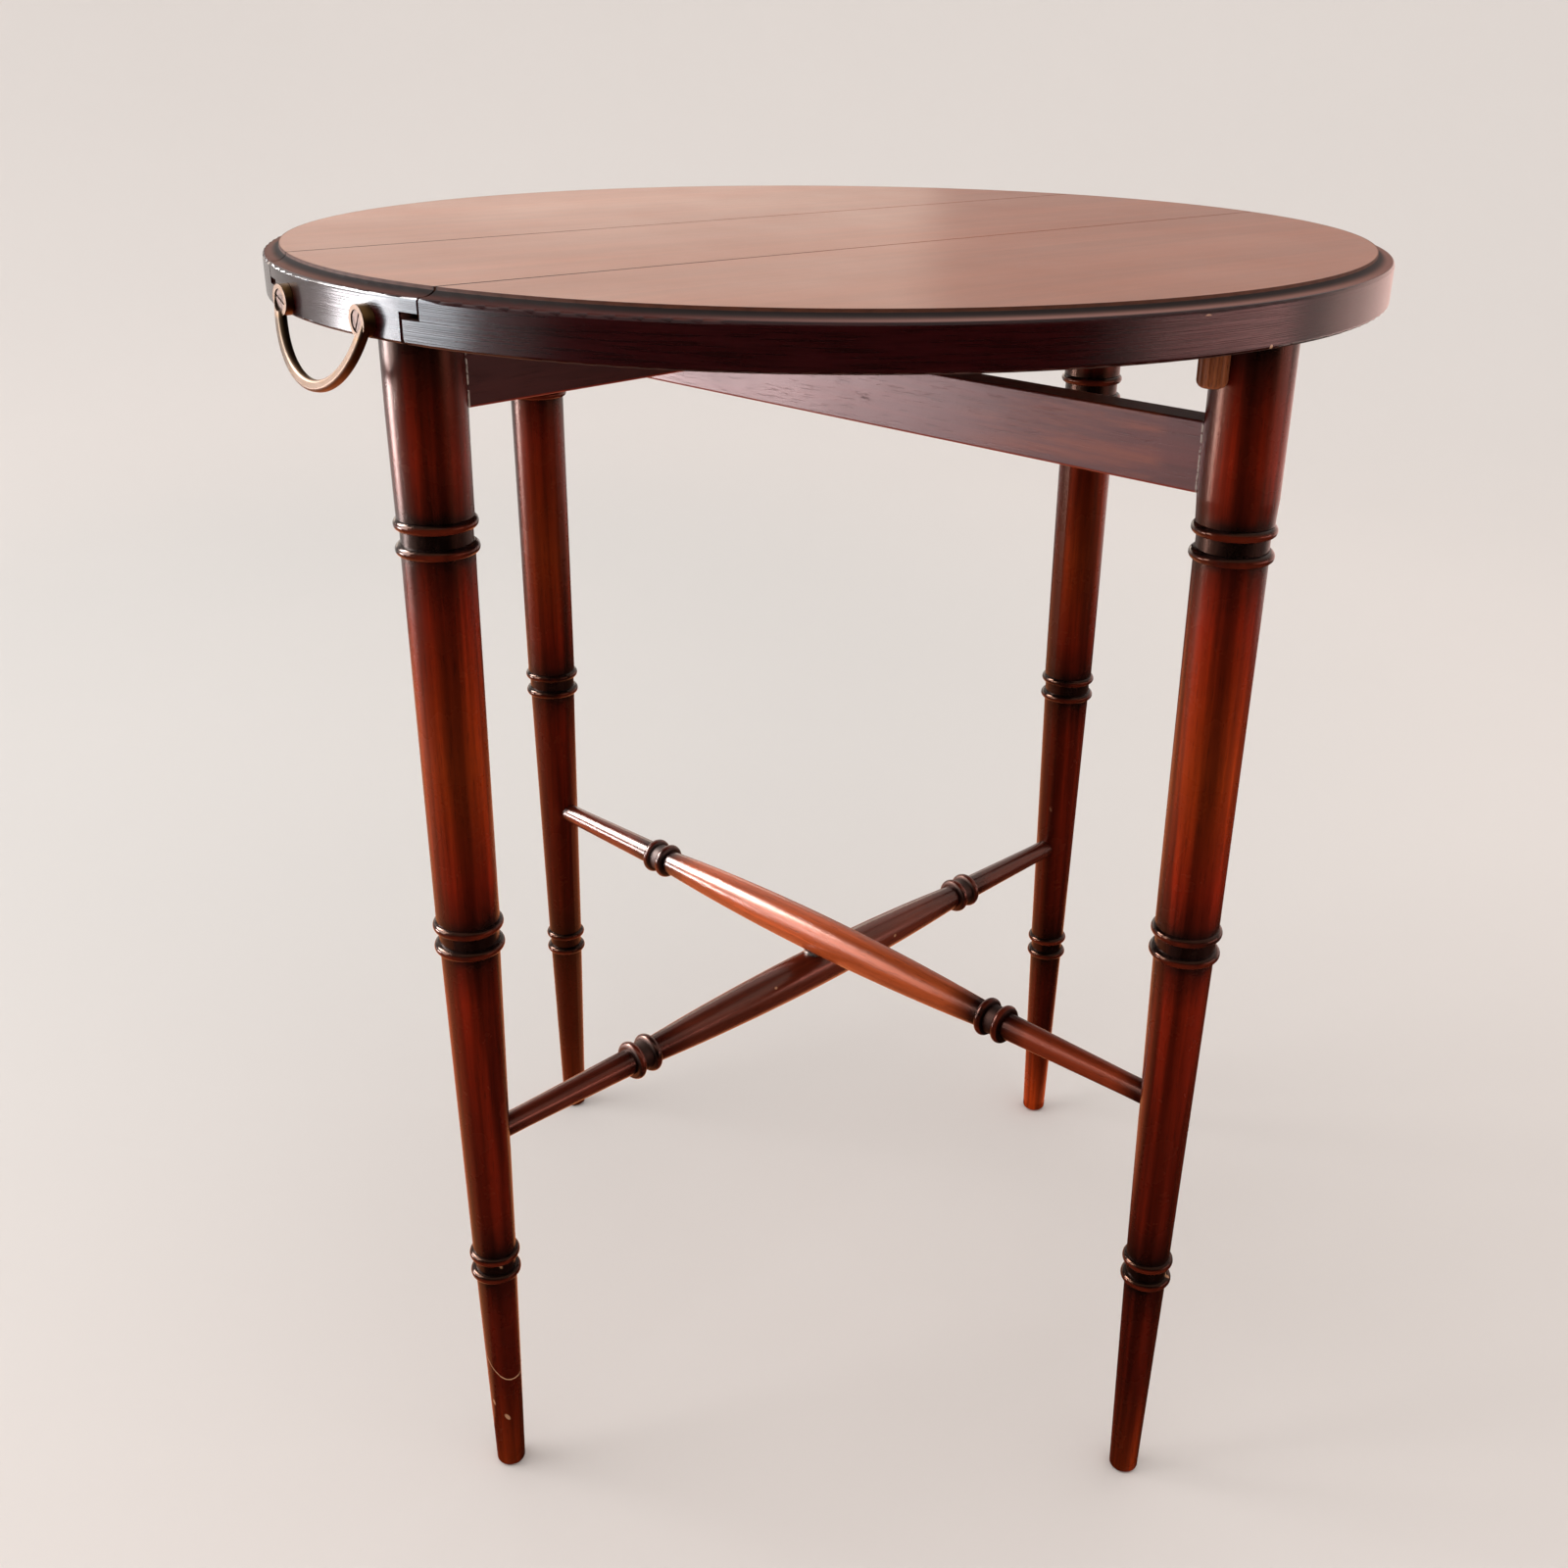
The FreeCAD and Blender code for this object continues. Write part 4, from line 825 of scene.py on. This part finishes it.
def layPaper():
    sweep = paperSweep
    mesh = sweepMesh()
    paper = bpy.data.objects.new("paperSweep", mesh)
    bpy.context.scene.collection.objects.link(paper)
    made, tree, shader = newFinish("studioPaper")
    place = objectPlace(tree)
    x, y, _ = parts(tree, place)
    tone = mixColours(tree, fade(tree, lengthOf(tree, x, y), *sweep["fade"]), sweep["middle"], sweep["wall"])
    apart = distanceTo(tree, place, sweep["shadeSpot"])
    shade = mixColours(tree, fade(tree, apart, *sweep["shadeReach"]), sweep["shade"], grey(1.0))
    tone = mixColours(tree, 1.0, tone, shade, "MULTIPLY")
    darkest, palest = sweep["patches"]
    drift = cloud(tree, place, sweep["patchCells"], detail=2.0)
    patchy = mixColours(tree, drift, grey(darkest), grey(palest))
    tree.links.new(mixColours(tree, 1.0, tone, patchy, "MULTIPLY"), shader.inputs["Base Color"])
    shader.inputs["Roughness"].default_value = sweep["rough"]
    shader.inputs["Specular IOR Level"].default_value = 0.0
    mesh.materials.append(made)


layPaper()
print("paper laid")


# soft light: a pale room, a window to the left and cards that only the gloss sees

roomLight = {
    "room": (0.985, 0.950, 0.925, 1.0),
    "roomStrength": 1.0,
    "lamps": {
        "leftWindow": {
            "spot": (-2.2, 1.7, 2.4), "aim": (0.0, 0.0, 0.4), "size": (2.0, 1.8),
            "power": 37.0, "tone": (1.0, 0.98, 0.97), "glossOnly": False,
        },
        "windowCard": {
            "spot": (-1.12, 0.54, 0.95), "aim": (0.0, 0.0, 0.85), "size": (0.52, 1.0),
            "power": 32.0, "tone": (0.84, 0.93, 1.0), "glossOnly": True,
        },
        "railCard": {
            "spot": (-1.64, 1.71, 0.20), "aim": (0.0, 0.0, 0.5), "size": (0.62, 0.36),
            "power": 34.0, "tone": (1.0, 0.95, 0.97), "glossOnly": True,
        },
        "highCard": {
            "spot": (-2.03, 2.90, 2.41), "aim": (0.0, 0.1, 0.25), "size": (1.2, 1.9),
            "power": 472.0, "tone": (1.0, 0.97, 0.95), "glossOnly": True,
        },
        "sideCard": {
            "spot": (0.9, -1.35, 0.50), "aim": (0.0, -0.2, 0.55), "size": (1.0, 0.25),
            "power": 4.5, "tone": (1.0, 0.45, 0.42), "glossOnly": True,
        },
        "rightCard": {
            "spot": (1.9, -0.1, 0.5), "aim": (0.0, -0.2, 0.55), "size": (1.6, 1.4),
            "power": 6.5, "tone": (1.0, 0.48, 0.40), "glossOnly": True,
        },
        "floorGlow": {
            "spot": (-0.35, 0.70, 0.006), "aim": (-0.35, 0.70, 1.0), "size": (1.9, 1.4),
            "power": 10.0, "tone": (1.0, 0.34, 0.14), "glossOnly": True,
        },
        "backCard": {
            "spot": (0.85, 2.5, 0.86), "aim": (0.0, 0.0, 0.66), "size": (2.6, 0.5),
            "power": 8.6, "tone": (1.0, 0.85, 0.71), "glossOnly": True,
        },
    },
    "darkCards": {
        "frontCard": {
            "spot": (-0.70, -0.82, 0.45), "aim": (0.0, 0.0, 0.45), "size": (2.6, 1.1),
            "tone": (0.004, 0.004, 0.004, 1.0),
        },
        "floorCard": {
            "spot": (-0.1, -0.1, 0.002), "aim": (-0.1, -0.1, 1.0), "size": (3.4, 3.4),
            "tone": (0.24, 0.075, 0.038, 1.0),
        },
    },
    "napCells": 300.0,
    "hiddenFrom": ("visible_camera", "visible_diffuse", "visible_shadow", "visible_transmission"),
}


def facing(look, ahead):  # turn that points the ahead axis from spot to aim
    return (Vector(look["aim"]) - Vector(look["spot"])).to_track_quat(ahead, "Y")


def lightRoom():
    world = bpy.data.worlds.new("paleRoom")
    bpy.context.scene.world = world
    world.use_nodes = True
    sky = world.node_tree.nodes["Background"]
    sky.inputs["Color"].default_value = roomLight["room"]
    sky.inputs["Strength"].default_value = roomLight["roomStrength"]
    for name, lamp in roomLight["lamps"].items():
        light = bpy.data.lights.new(name, "AREA")
        light.shape = "RECTANGLE"
        light.size, light.size_y = lamp["size"]
        light.energy = lamp["power"]
        light.color = lamp["tone"]
        holder = bpy.data.objects.new(name, light)
        holder.location = lamp["spot"]
        holder.rotation_euler = facing(lamp, "-Z").to_euler()
        holder.visible_camera = False
        holder.visible_diffuse = not lamp["glossOnly"]
        holder.visible_glossy = lamp["glossOnly"]
        bpy.context.scene.collection.objects.link(holder)


def standDarkCard(name, card):  # keeps the pale room out of the gloss
    mesh = bpy.data.meshes.new(name)
    shape = bmesh.new()
    bmesh.ops.create_grid(shape, x_segments=1, y_segments=1, size=0.5)
    sized = Matrix.Diagonal((*card["size"], 1.0, 1.0))
    stand = Matrix.Translation(card["spot"]) @ facing(card, "Z").to_matrix().to_4x4() @ sized
    bmesh.ops.transform(shape, matrix=stand, verts=shape.verts)
    shape.to_mesh(mesh)
    shape.free()
    made, tree, shader = newFinish(name + "Cloth")
    nap = cloud(tree, objectPlace(tree), roomLight["napCells"], detail=2.0)
    tree.links.new(mixColours(tree, nap, card["tone"], grey(0.0)), shader.inputs["Base Color"])
    shader.inputs["Roughness"].default_value = 1.0
    shader.inputs["Specular IOR Level"].default_value = 0.0
    mesh.materials.append(made)
    holder = bpy.data.objects.new(name, mesh)
    for way in roomLight["hiddenFrom"]:
        setattr(holder, way, False)
    bpy.context.scene.collection.objects.link(holder)


lightRoom()
for cardName, darkCard in roomLight["darkCards"].items():
    standDarkCard(cardName, darkCard)
print("room lit")


# camera where the photographer stood

photoView = {
    "spot": (-0.5869, -0.6894, 0.7573),
    "yaw": 50.82,
    "pitch": 24.17,  # downward
    "roll": -0.38,
    "focal": 1707.0,  # in pixels
    "pixels": 1600.0,
    "sensor": 36.0,
    "nearest": 0.02,
}


def setCamera():
    view = photoView
    yaw, pitch, roll = (math.radians(view[key]) for key in ("yaw", "pitch", "roll"))
    ahead = Vector((math.cos(pitch) * math.cos(yaw), math.cos(pitch) * math.sin(yaw), -math.sin(pitch)))
    side = Vector((math.sin(yaw), -math.cos(yaw), 0.0))
    down = ahead.cross(side)
    level = math.cos(roll) * side + math.sin(roll) * down
    fall = math.cos(roll) * down - math.sin(roll) * side
    turn = Matrix((level, -fall, -ahead)).transposed().to_4x4()
    lens = bpy.data.cameras.new("photoCamera")
    lens.sensor_width = view["sensor"]
    lens.lens = view["focal"] / view["pixels"] * view["sensor"]
    lens.clip_start = view["nearest"]
    camera = bpy.data.objects.new("photoCamera", lens)
    camera.matrix_world = Matrix.Translation(view["spot"]) @ turn
    bpy.context.scene.collection.objects.link(camera)
    bpy.context.scene.camera = camera


setCamera()
bpy.context.scene.view_settings.view_transform = "Standard"  # plain contrast, as a phone picture has
print("camera set")
